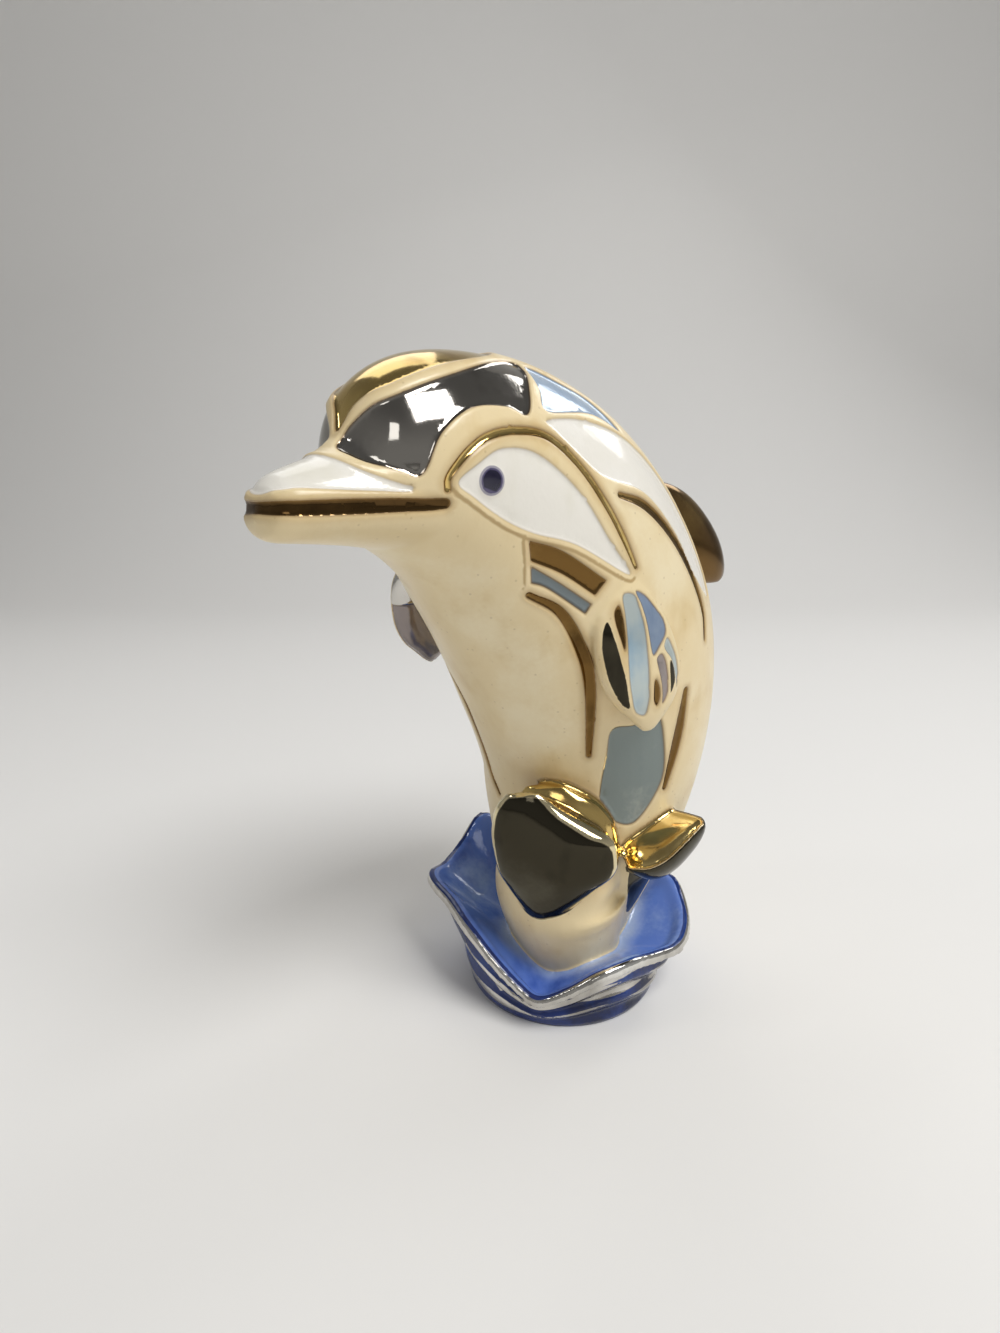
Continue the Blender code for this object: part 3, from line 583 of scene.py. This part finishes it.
def distanceToPath(where, path, halfWidth):
    best = np.full(len(where), 1e9)
    for a, b, wa, wb in zip(path, path[1:], halfWidth, halfWidth[1:]):
        ab = b - a
        t = np.clip((where - a) @ ab / max(ab @ ab, 1e-9), 0, 1)
        gap = np.linalg.norm(where - a - t[:, None] * ab, axis=1) - (wa + (wb - wa) * t)
        best = np.minimum(best, gap)
    return best


def insideOutline(flat, outline):
    inside = np.zeros(len(flat), bool)
    for a, b in zip(outline, np.roll(outline, -1, 0)):
        crosses = (a[1] > flat[:, 1]) != (b[1] > flat[:, 1])
        if a[1] != b[1]:
            inside ^= crosses & (flat[:, 0] < (b[0] - a[0]) * (flat[:, 1] - a[1]) / (b[1] - a[1]) + a[0])
    return inside


def fieldPath(field, tree):  # points on the skin, and half the width of a line
    if "line" in field:
        path = smoothRows(np.column_stack([field["line"], field["width"]]), meshing["lineSteps"])
        return onSkin(path[:, :3], tree), path[:, 3] / 2
    points = np.array(field.get("area") or field["middle"], float)
    if "middle" in field:
        points = np.vstack([points, (points * (-1, 1, 1))[-2:0:-1]])
    path = corneredLoop(points, field["corners"]) if "corners" in field else smoothLoop(points)
    return onSkin(path, tree), np.zeros(len(path) + 1)


def facingOf(points, outward):
    centre = points.mean(0)
    facing = unit(sum(np.cross(a - centre, b - centre) for a, b in zip(points, np.roll(points, -1, 0))))
    return facing if facing @ outward >= 0 else -facing


def fieldDistance(where, normals, field, tree):  # negative inside the field
    out = np.full(len(where), farAway)
    points, half = fieldPath(field, tree)
    low, high = points.min(0) - fieldMargin, points.max(0) + fieldMargin
    near = np.flatnonzero(((where > low) & (where < high)).all(1))
    if not len(near):
        return out
    if "line" in field:
        out[near] = distanceToPath(where[near], points, half)
        return out
    centre = points.mean(0)
    facing = facingOf(points, field.get("outward", (centre[0], 0, 10)))
    across = unit(np.cross(facing, (0.1, 1, 0.2)))  # no field faces this way
    flat = np.stack([across, np.cross(facing, across)], 1)
    inside = insideOutline((where[near] - centre) @ flat, (points - centre) @ flat)
    inside &= normals[near] @ facing > 0
    gap = distanceToPath(where[near], np.vstack([points, points[:1]]), half)
    out[near] = np.where(inside, -gap, gap)
    return out


def readPoints(mesh):
    where = np.empty(len(mesh.vertices) * 3)
    mesh.vertices.foreach_get("co", where)
    normals = np.empty(len(mesh.vertices) * 3)
    mesh.vertices.foreach_get("normal", normals)
    return where.reshape(-1, 3) / mm, normals.reshape(-1, 3)


def formReaches(where):
    reaches = {}
    for name, tree in formTrees.items():
        found = [tree.find_nearest(Vector(point) * mm, farAway * mm)[3] for point in where]
        reaches[name] = np.array([farAway if gap is None else gap / mm for gap in found])
    return reaches


def onFin(field, shape):  # a field drawn on a flipper, as one on the skin
    root, along, side, out = finFrame(shape, straight)
    front = root + out * shape["thickness"][0]
    points = [tuple(front + side * a + along * b) for a, b in field["area"]]
    return {"finish": field["finish"], "area": points, "outward": out}


def rimGap(where):
    look = brushedSilver
    bearings = np.linspace(-180, 180, 361)
    b = np.radians(bearings)
    reach, height = rimAt(bearings).T
    thick = look["rimExtra"] * np.exp(-((bearings - look["thickestAt"]) / look["thickSpread"]) ** 2)
    band = look["rimWidth"] + thick + look["waver"] * np.sin(look["wavers"] * b)  # brushed on unevenly
    drop = look["rimDrop"] + look["dropShare"] * (band - look["rimWidth"])
    out = reach + look["rimOut"]
    line = [turned(*place) for place in zip(out * np.sin(b), out * np.cos(b), height - drop)]
    return distanceToPath(where, np.array(line), band)


def strokeGap(where):
    gap = np.full(len(where), farAway)
    for stroke in waveStrokes:
        path = smoothRows(stroke, meshing["curveSteps"])
        rims = rimAt(path[:, 0])
        places = []
        for (bearing, share, _), (reach, height) in zip(path, rims):
            b = math.radians(bearing)
            out, up = wallAt(share, b, reach, height)
            places.append(turned(out * math.sin(b), out * math.cos(b), up))
        gap = np.minimum(gap, distanceToPath(where, np.array(places), path[:, 2] / 2))
    return gap


def rippleGap(where):
    look = brushedSilver
    flat = where @ np.array(Matrix.Rotation(math.radians(-tailTurn), 3, "Z")).T
    bearing = np.arctan2(flat[:, 0], -flat[:, 1])
    reach, height = rimAt(np.degrees(bearing)).T
    share = np.clip((height - where[:, 2]) / (height - waveShape["footHeight"]), 0, 1)
    turns = rippleTurns(share, bearing)
    width = look["rippleWidth"]
    for size, swings, down, start in look["rippleWaver"]:
        width = width + size * np.sin(swings * bearing + down * share + start)
    gap = np.abs(turns - np.round(turns)) * height / waveShape["ripples"] - width
    wallReach = wallAt(share, bearing, reach, height)[0]
    wall = wallReach - look["wallFrom"] - np.hypot(flat[:, 0], flat[:, 1])  # negative on the outer wall
    top = (look["clearOfRim"] - share) * height
    foot = (share - 1 + look["clearOfFoot"]) * height
    return np.max([gap, wall, top, foot], 0), wall


# for each finish and part, how far every point of the skin is from it: negative inside
def ornamentGaps(mesh):
    where, normals = readPoints(mesh)
    faces = [list(face.vertices) for face in mesh.polygons]
    tree = BVHTree.FromPolygons([Vector(p) * mm for p in where], faces)
    fold = np.stack([np.where(where[:, 0] < 0, -1.0, 1.0), *np.ones((2, len(where)))], 1)
    reaches = formReaches(where)
    gaps = {finish: np.full(len(where), farAway) for finish in finishes}

    def off(*names):  # negative where one of these forms is the nearest
        own = np.min([reaches[name] for name in names], 0)
        rest = np.min([gap for name, gap in reaches.items() if name not in names], 0)
        return (own - rest) / 2

    def lay(finish, *limits):
        gaps[finish] = np.minimum(gaps[finish], np.max(limits, 0))

    def short(limit, facing):  # positive where the skin faces less than this limit
        return (lustreLimits[limit] - facing) * lustreLimits["softness"]

    trunk = off("body", "beak")
    for field in ornament.values():
        turn = 1 if "middle" in field or "side" in field else fold
        lay(field["finish"], fieldDistance(where * turn, normals * turn, field, tree), trunk)
    for flipper in ("leftFlipper", "rightFlipper"):
        shape = finShapes[flipper]
        onFront = np.maximum(off(flipper), short("flipperFront", normals @ finFrame(shape, straight)[3]))
        for field in flipperOrnament.values():
            lay(field["finish"], fieldDistance(where, normals, onFin(field, shape), tree), onFront)
    # the far flipper's back is one lustre, painted as two reflections: a dark one in mauve near the root and
    # a bright one in silver past the divide
    root, along, _, out = finFrame(finShapes["rightFlipper"], straight)
    onBack = np.maximum(-short("flipperBack", normals @ out), off("rightFlipper"))
    pastDivide = (where - root) @ along - lustreLimits["flipperDivide"]
    lay("silver", onBack, pastDivide)
    lay("mauve", onBack, -pastDivide)
    kite = normals @ finFrame(tailShapes["rightFluke"], turned)[3]
    lay("smoke", short("kite", kite), off("rightFluke"))
    # painted highlight: the fluke's rounded rim between its dark face and its gold back is its gold painted
    # pale
    lay("rimHighlightGold", -short("kite", kite), short("kiteRim", kite), off("rightFluke"))
    lay("gold", -short("kiteRim", kite), off("rightFluke"))
    lay("gold", off("rightFlukeDeck"))
    deck = normals @ finFrame(tailShapes["leftFluke"], turned)[3]
    lay("gold", short("leftDeck", deck), off("leftFluke"))
    lay("smoke", -short("leftHull", deck), off("leftFluke"))
    lay("smoke", fieldDistance(where, normals, hullFoot, tree), off("curl", "body"))
    lay("darkReflectionGold", off("dorsalFin"))

    gaps["toEye"] = np.linalg.norm(where * fold - onSkin([eye["centre"]], tree)[0], axis=1)
    gaps["wave"] = off("wave")
    gaps["rim"] = np.maximum(rimGap(where), gaps["wave"])
    ripple, wall = rippleGap(where)
    gaps["ripple"] = np.maximum(np.minimum(ripple, np.maximum(strokeGap(where), wall)), gaps["wave"])
    gaps["wall"] = np.maximum(wall, gaps["wave"])
    gaps["toTrunk"] = np.minimum(reaches["body"], reaches["curl"])
    return where, normals, gaps


def step(gap, width):
    t = np.clip(0.5 - gap / width, 0, 1)
    return t * t * (3 - 2 * t)


def carve(figure):
    mesh = figure.data
    where, normals, gaps = ornamentGaps(mesh)
    depth = np.zeros(len(where))
    for finish in finishes:
        depth = np.maximum(depth, recess[finish] * step(gaps[finish], recessSlope))
    depth -= eye["lift"] * step(gaps["toEye"] - eye["ring"], eye["slope"])
    mesh.vertices.foreach_set("co", ((where - normals * depth[:, None]) * mm).ravel())
    for name, gap in gaps.items():
        attribute = mesh.attributes.new(name, "FLOAT", "POINT")
        attribute.data.foreach_set("value", gap)
    mesh.update()


def thin(figure):
    count = sum(len(face.vertices) - 2 for face in figure.data.polygons)
    if count > meshing["triangles"]:
        decimate = figure.modifiers.new("thin", "DECIMATE")
        decimate.ratio = meshing["triangles"] / count
        applyModifiers(figure)
    figure.data.shade_smooth()


def stretch(figure):
    corners = np.array([corner[:] for corner in figure.bound_box]) / mm
    size = corners.max(0) - corners.min(0)
    wanted = [overallSize[key] for key in ("width", "length", "height")]
    figure.data.transform(Matrix.Diagonal((*(np.array(wanted) / size), 1)))


carve(figure)
print("ornament carved")
thin(figure)
levelFoot(figure)
stretch(figure)
print("thinned to", len(figure.data.polygons), "faces")


# What a user would change about the glaze and the lustres. Each finish has three tints: its own, a darker one
# for the clouds and a paler one for the drifts.
# a finish's creaseShade value sets how strongly painted shade darkens the crease round its fields
ceramicLooks = {
    "cream": {
        "tints": ((0.76, 0.62, 0.37), (0.67, 0.51, 0.26), (0.82, 0.71, 0.48)),
        "rough": 0.30,
    },
    "cobalt": {
        "tints": ((0.10, 0.19, 0.56), (0.025, 0.07, 0.34), (0.30, 0.42, 0.70)),
        "rough": 0.07,
    },
    "navy": {
        "tints": ((0.012, 0.03, 0.15), (0.006, 0.010, 0.04), (0.03, 0.09, 0.36)),
        "rough": 0.08,
    },
    "pooled": {
        "tints": ((0.36, 0.46, 0.68), (0.22, 0.33, 0.62), (0.66, 0.70, 0.76)),
        "rough": 0.07,
    },
    # the brown of the painted shade lines
    "borderShade": {
        "tints": ((0.44, 0.31, 0.14), (0.34, 0.22, 0.09), (0.52, 0.38, 0.19)),
        "rough": 0.3,
    },
    "white": {
        "tints": ((0.79, 0.76, 0.69), (0.74, 0.71, 0.62), (0.84, 0.82, 0.77)),
        "rough": 0.14, "creaseShade": 0.3,
    },
    "palest": {
        "tints": ((0.47, 0.53, 0.52), (0.27, 0.40, 0.50), (0.62, 0.66, 0.60)),
        "rough": 0.12, "metal": 0.3, "creaseShade": 0.5,
    },
    "deepBlue": {
        "tints": ((0.27, 0.35, 0.48), (0.17, 0.24, 0.37), (0.48, 0.56, 0.63)),
        "rough": 0.12, "metal": 0.4, "creaseShade": 0.6,
    },
    "mauve": {
        "tints": ((0.30, 0.26, 0.25), (0.20, 0.17, 0.15), (0.46, 0.43, 0.42)),
        "rough": 0.12, "metal": 0.6, "creaseShade": 0.5,
    },
    "paleBlue": {
        "tints": ((0.36, 0.47, 0.60), (0.24, 0.34, 0.50), (0.60, 0.66, 0.70)),
        "rough": 0.12, "metal": 0.25, "creaseShade": 0.4,
    },
    "steel": {
        "tints": ((0.17, 0.20, 0.21), (0.09, 0.11, 0.12), (0.38, 0.43, 0.44)),
        "rough": 0.12, "metal": 0.6, "creaseShade": 0.7,
    },
    "greyBlue": {
        "tints": ((0.20, 0.235, 0.225), (0.12, 0.165, 0.185), (0.44, 0.46, 0.41)),
        "rough": 0.14, "metal": 0.4, "creaseShade": 0.6,
    },
    # the gold lustre of the mouth line painted near black, as a painted dark reflection
    "mouth": {
        "tints": ((0.085, 0.048, 0.018), (0.03, 0.018, 0.01), (0.22, 0.13, 0.045)),
        "rough": 0.14, "metal": 1.0, "creaseShade": 0.6,
    },
    # gold lustre painted dark brown: partly its own brown tone, partly a painted dark reflection
    "darkReflectionGold": {
        "tints": ((0.165, 0.092, 0.028), (0.07, 0.038, 0.012), (0.38, 0.25, 0.085)),
        "rough": 0.16, "metal": 1.0, "creaseShade": 0.75,
    },
    "gold": {
        "tints": ((0.68, 0.49, 0.18), (0.44, 0.28, 0.08), (0.88, 0.72, 0.36)),
        "rough": 0.12, "metal": 1.0, "creaseShade": 0.75,
    },
    # gold painted pale as the highlight along the fluke's rim
    "rimHighlightGold": {
        "tints": ((0.76, 0.66, 0.42), (0.62, 0.50, 0.28), (0.84, 0.78, 0.60)),
        "rough": 0.10, "metal": 1.0,
    },
    # platinum painted darker than the lustre is: partly a painted dark reflection
    "platinum": {
        "tints": ((0.36, 0.34, 0.31), (0.22, 0.20, 0.18), (0.54, 0.52, 0.49)),
        "rough": 0.08, "metal": 1.0, "creaseShade": 0.6,
    },
    "smoke": {
        "tints": ((0.050, 0.044, 0.030), (0.025, 0.022, 0.016), (0.090, 0.082, 0.060)),
        "rough": 0.10, "metal": 1.0,
    },
    "silver": {
        "tints": ((0.62, 0.60, 0.56), (0.36, 0.34, 0.31), (0.84, 0.83, 0.80)),
        "rough": 0.12, "metal": 1.0,
    },
    "ring": {
        "tints": ((0.34, 0.32, 0.37), (0.26, 0.25, 0.30), (0.46, 0.44, 0.46)),
        "rough": 0.12,
    },
    "iris": {
        "tints": ((0.08, 0.07, 0.14), (0.06, 0.05, 0.11), (0.12, 0.11, 0.20)),
        "rough": 0.10,
    },
    "pupil": {
        "tints": ((0.012, 0.010, 0.03), (0.008, 0.008, 0.02), (0.02, 0.02, 0.05)),
        "rough": 0.06,
    },
    # features per metre
    "cloudScale": 70, "driftScale": 42, "brushScale": 240, "fineScale": 960, "speckScale": 700,
    "brushSquash": (1, 1, 0.35), "brushInClouds": 0.3, "fineInDrifts": 0.1,
    "clouds": (0.48, 0.70), "drifts": (0.50, 0.74),  # where they begin, and where they are full
    "speckColour": (0.42, 0.30, 0.16), "speckStrength": 0.35, "speckless": 0.82, "speckEdge": (0.22, 0.10),
    # widths in millimetres
    # the painted shade in the creases along field edges takes the width and colour given below
    "edgeBlur": 0.09, "creaseShadeWidth": 0.38, "creaseShadeColour": (0.24, 0.14, 0.05),
    # the painted golden-brown shade beside the metal lines: its reach, strength and colour
    "haloShadeReach": 1.9, "haloShadeStrength": 0.5, "haloShadeColour": (0.47, 0.31, 0.12),
    "poolFrom": 2.2, "poolReach": 4.5, "poolRagged": 5.0,
    "lineAway": 1.2, "lineWidth": 0.55, "lineCore": 0.1, "lineEnds": (1.1, 0.5),
    # the fine relief of the surface, and how uneven its gloss is
    "orangePeel": 0.10, "metalPeel": 0.02, "brushMarks": 0.12, "peelStrength": 0.3, "peelDepth": 0.001,
    "roughSpread": 0.05,
}


def addNode(tree, kind, **settings):
    node = tree.nodes.new(kind)
    for key, value in settings.items():
        setattr(node, key, value)
    return node


def plug(tree, socket, value):
    if isinstance(value, bpy.types.NodeSocket):
        tree.links.new(value, socket)
    elif isinstance(value, tuple):
        socket.default_value = (*value, 1)
    else:
        socket.default_value = value


def spread(tree, value, low, high):  # 0 at low and 1 at high
    ramp = addNode(tree, "ShaderNodeMapRange", interpolation_type="SMOOTHSTEP")
    plug(tree, ramp.inputs["Value"], value)
    plug(tree, ramp.inputs["From Min"], low)
    plug(tree, ramp.inputs["From Max"], high)
    return ramp.outputs["Result"]


def stored(tree, name):
    return addNode(tree, "ShaderNodeAttribute", attribute_name=name).outputs["Fac"]


def mask(tree, name, edge=0.0):  # 1 where the stored gap is below the edge
    blur = ceramicLooks["edgeBlur"]
    return spread(tree, stored(tree, name), edge + blur, edge - blur)


def combine(tree, kind, first, second):
    node = addNode(tree, "ShaderNodeMath", operation=kind)
    plug(tree, node.inputs[0], first)
    plug(tree, node.inputs[1], second)
    return node.outputs[0]


def times(tree, first, second):
    return combine(tree, "MULTIPLY", first, second)


def layer(tree, below, factor, above):
    mix = addNode(tree, "ShaderNodeMix", data_type="RGBA")
    plug(tree, mix.inputs["Factor"], factor)
    plug(tree, mix.inputs[6], below)
    plug(tree, mix.inputs[7], above)
    return mix.outputs[2]


def layerValue(tree, below, factor, above):
    mix = addNode(tree, "ShaderNodeMix", data_type="FLOAT")
    plug(tree, mix.inputs["Factor"], factor)
    plug(tree, mix.inputs[2], below)
    plug(tree, mix.inputs[3], above)
    return mix.outputs[0]


def noise(tree, place, scale, detail=3.0, shift=0.0, squash=(1, 1, 1)):
    move = addNode(tree, "ShaderNodeMapping")
    plug(tree, move.inputs["Vector"], place)
    move.inputs["Location"].default_value = (shift, shift, -shift)
    move.inputs["Scale"].default_value = squash
    node = addNode(tree, "ShaderNodeTexNoise")
    plug(tree, node.inputs["Vector"], move.outputs["Vector"])
    plug(tree, node.inputs["Scale"], scale)
    plug(tree, node.inputs["Detail"], detail)
    return node.outputs["Fac"]


def specks(tree, place):  # small iron specks in the clay, one in a few cells
    cells = addNode(tree, "ShaderNodeTexVoronoi")
    plug(tree, cells.inputs["Vector"], place)
    plug(tree, cells.inputs["Scale"], ceramicLooks["speckScale"])
    pick = addNode(tree, "ShaderNodeSeparateColor")
    plug(tree, pick.inputs[0], cells.outputs["Color"])
    chosen = combine(tree, "GREATER_THAN", pick.outputs[0], ceramicLooks["speckless"])
    dot = spread(tree, cells.outputs["Distance"], *ceramicLooks["speckEdge"])
    return times(tree, times(tree, chosen, dot), ceramicLooks["speckStrength"])


def glazedCeramic():
    look = ceramicLooks
    material = bpy.data.materials.new("glazedCeramic")
    material.use_nodes = True
    tree = material.node_tree
    shader = tree.nodes["Principled BSDF"]
    place = addNode(tree, "ShaderNodeTexCoord").outputs["Object"]
    cloud = noise(tree, place, look["cloudScale"])
    drift = noise(tree, place, look["driftScale"], shift=3.1)
    brush = noise(tree, place, look["brushScale"], detail=5.0, shift=1.7, squash=look["brushSquash"])
    fine = noise(tree, place, look["fineScale"], detail=2.0, shift=0.6)
    darker = spread(tree, layerValue(tree, cloud, look["brushInClouds"], brush), *look["clouds"])
    lighter = spread(tree, layerValue(tree, drift, look["fineInDrifts"], fine), *look["drifts"])

    def tinted(finish):
        base, second, third = look[finish]["tints"]
        return layer(tree, layer(tree, base, darker, second), lighter, third)

    colour = layer(tree, tinted("cream"), specks(tree, place), look["speckColour"])
    # painted shade: the cream darkens to golden brown within a few millimetres of the gold, dark gold and
    # mouth lines, as if shaded at their recessed edges
    haloShade = 0.0
    for finish in ("gold", "darkReflectionGold", "mouth"):
        beside = spread(tree, stored(tree, finish), look["haloShadeReach"], 0.0)
        haloShade = combine(tree, "MAXIMUM", haloShade, beside)
    colour = layer(tree, colour, times(tree, haloShade, look["haloShadeStrength"]), look["haloShadeColour"])
    metal, rough = 0.0, look["cream"]["rough"]

    def cover(finish, inside):
        nonlocal colour, metal, rough
        colour = layer(tree, colour, inside, tinted(finish))
        metal = layerValue(tree, metal, inside, look[finish].get("metal", 0.0))
        rough = layerValue(tree, rough, inside, look[finish]["rough"])

    wave, wall = mask(tree, "wave"), mask(tree, "wall")
    cover("cobalt", wave)
    cover("navy", wall)
    ragged = combine(tree, "ADD", stored(tree, "toTrunk"), times(tree, cloud, look["poolRagged"]))
    pool = spread(tree, ragged, look["poolFrom"] + look["poolReach"], look["poolFrom"])
    cover("pooled", times(tree, combine(tree, "SUBTRACT", wave, wall), pool))
    # thin brown lines of painted shade: each follows a field's cream border at a distance, along a stroke of
    # its own
    cheek = combine(tree, "MINIMUM", stored(tree, "darkReflectionGold"), stored(tree, "steel"))
    for stroke, field in (("borderShade", stored(tree, "white")), ("throat", cheek)):
        offLine = combine(tree, "ABSOLUTE", combine(tree, "SUBTRACT", field, look["lineAway"]), 0.0)
        line = spread(tree, offLine, look["lineWidth"], look["lineCore"])
        cover("borderShade", times(tree, line, spread(tree, stored(tree, stroke), *look["lineEnds"])))
    # painted shade: dark brown on both sides of each field's edge, where the crease of its recess would be
    # shaded
    creaseShade = 0.0
    for finish in finishes[2:]:
        cover(finish, mask(tree, finish))
        away = combine(tree, "ABSOLUTE", stored(tree, finish), 0.0)
        beside = spread(tree, away, look["creaseShadeWidth"], 0.0)
        creaseShade = combine(tree, "MAXIMUM", creaseShade, times(tree, beside, look[finish].get("creaseShade", 0.0)))
    colour = layer(tree, colour, creaseShade, look["creaseShadeColour"])
    cover("silver", mask(tree, "ripple"))
    cover("silver", mask(tree, "rim"))
    for part in ("ring", "iris", "pupil"):
        cover(part, mask(tree, "toEye", eye[part]))
    uneven = times(tree, combine(tree, "SUBTRACT", brush, 0.5), look["roughSpread"])

    plug(tree, shader.inputs["Base Color"], colour)
    plug(tree, shader.inputs["Metallic"], metal)
    plug(tree, shader.inputs["Roughness"], combine(tree, "ADD", rough, uneven))
    peel = addNode(tree, "ShaderNodeBump")
    plug(tree, peel.inputs["Strength"], look["peelStrength"])
    plug(tree, peel.inputs["Distance"], look["peelDepth"])
    ripple = times(tree, fine, layerValue(tree, look["orangePeel"], metal, look["metalPeel"]))
    marks = times(tree, brush, look["brushMarks"])
    plug(tree, peel.inputs["Height"], combine(tree, "ADD", marks, ripple))
    plug(tree, shader.inputs["Normal"], peel.outputs["Normal"])
    return material


figure.data.materials.append(glazedCeramic())
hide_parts("dolphin_figurine")
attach(figure, "root")
print("finish made")

studio = {
    "paper": (0.80, 0.79, 0.77),   # the floor and the wall behind, one sheet
    "wallAway": 1.1, "wallHeight": 1.6, "bend": 0.5, "paperHalf": 3.0,
    "horizon": 0.34, "zenith": 0.15, "fade": (0.15, 0.85), "tint": (1.0, 0.99, 0.97),
    "aim": (0, 0, 0.07),           # what every lamp points at
}
# place, size in metres, power in watts
lamps = {
    "key": ((0.62, -0.06, 0.92), 0.50, 8.5),
    "spark": ((-0.42, -0.56, 0.78), 0.11, 0.35),
    "fill": ((0.45, -0.75, 0.60), 0.26, 0.5),
    "back": ((0.10, 0.85, 0.75), 0.40, 1.8),
    "top": ((-0.50, 0.25, 0.90), 0.55, 1.4),
}


def addPaper():
    turn = Matrix.Rotation(math.radians(photoView["heading"]), 3, "Z")  # the wall is square to the photograph
    half, away, bend = studio["paperHalf"], studio["wallAway"], studio["bend"]
    profile = [(-half, 0.0)]
    for a in np.radians(np.linspace(0, 90, 24)):
        profile.append((away - bend + bend * math.sin(a), bend - bend * math.cos(a)))
    profile.append((away, studio["wallHeight"]))
    bm = bmesh.new()
    rows = []
    for y, z in profile:
        rows.append([bm.verts.new(turn @ Vector((side, y, z))) for side in (-half, half)])
    for first, second in zip(rows, rows[1:]):
        bm.faces.new((first[0], first[1], second[1], second[0]))
    mesh = bpy.data.meshes.new("paper")
    bm.to_mesh(mesh)
    bm.free()
    mesh.shade_smooth()
    paper = bpy.data.objects.new("paper", mesh)
    bpy.context.scene.collection.objects.link(paper)
    material = bpy.data.materials.new("paperCard")
    material.use_nodes = True
    shader = material.node_tree.nodes["Principled BSDF"]
    shader.inputs["Base Color"].default_value = (*studio["paper"], 1)
    shader.inputs["Roughness"].default_value = 0.95
    mesh.materials.append(material)


def addLamp(name):
    place, size, power = lamps[name]
    data = bpy.data.lights.new(name, "AREA")
    data.size = size
    data.energy = power
    lamp = bpy.data.objects.new(name, data)
    lamp.location = place
    lamp.rotation_euler = (Vector(studio["aim"]) - Vector(place)).to_track_quat("-Z", "Y").to_euler()
    bpy.context.scene.collection.objects.link(lamp)


def addWorld():
    world = bpy.data.worlds.new("studio")
    world.use_nodes = True
    tree = world.node_tree
    direction = addNode(tree, "ShaderNodeTexCoord").outputs["Generated"]
    split = addNode(tree, "ShaderNodeSeparateXYZ")
    plug(tree, split.inputs[0], direction)
    height = spread(tree, split.outputs["Z"], *studio["fade"])
    bright = layerValue(tree, studio["horizon"], height, studio["zenith"])
    plug(tree, tree.nodes["Background"].inputs["Color"], studio["tint"])
    plug(tree, tree.nodes["Background"].inputs["Strength"], bright)
    bpy.context.scene.world = world


addPaper()
addWorld()
for name in lamps:
    addLamp(name)
bpy.context.scene.view_settings.view_transform = "Standard"
print("studio lit")
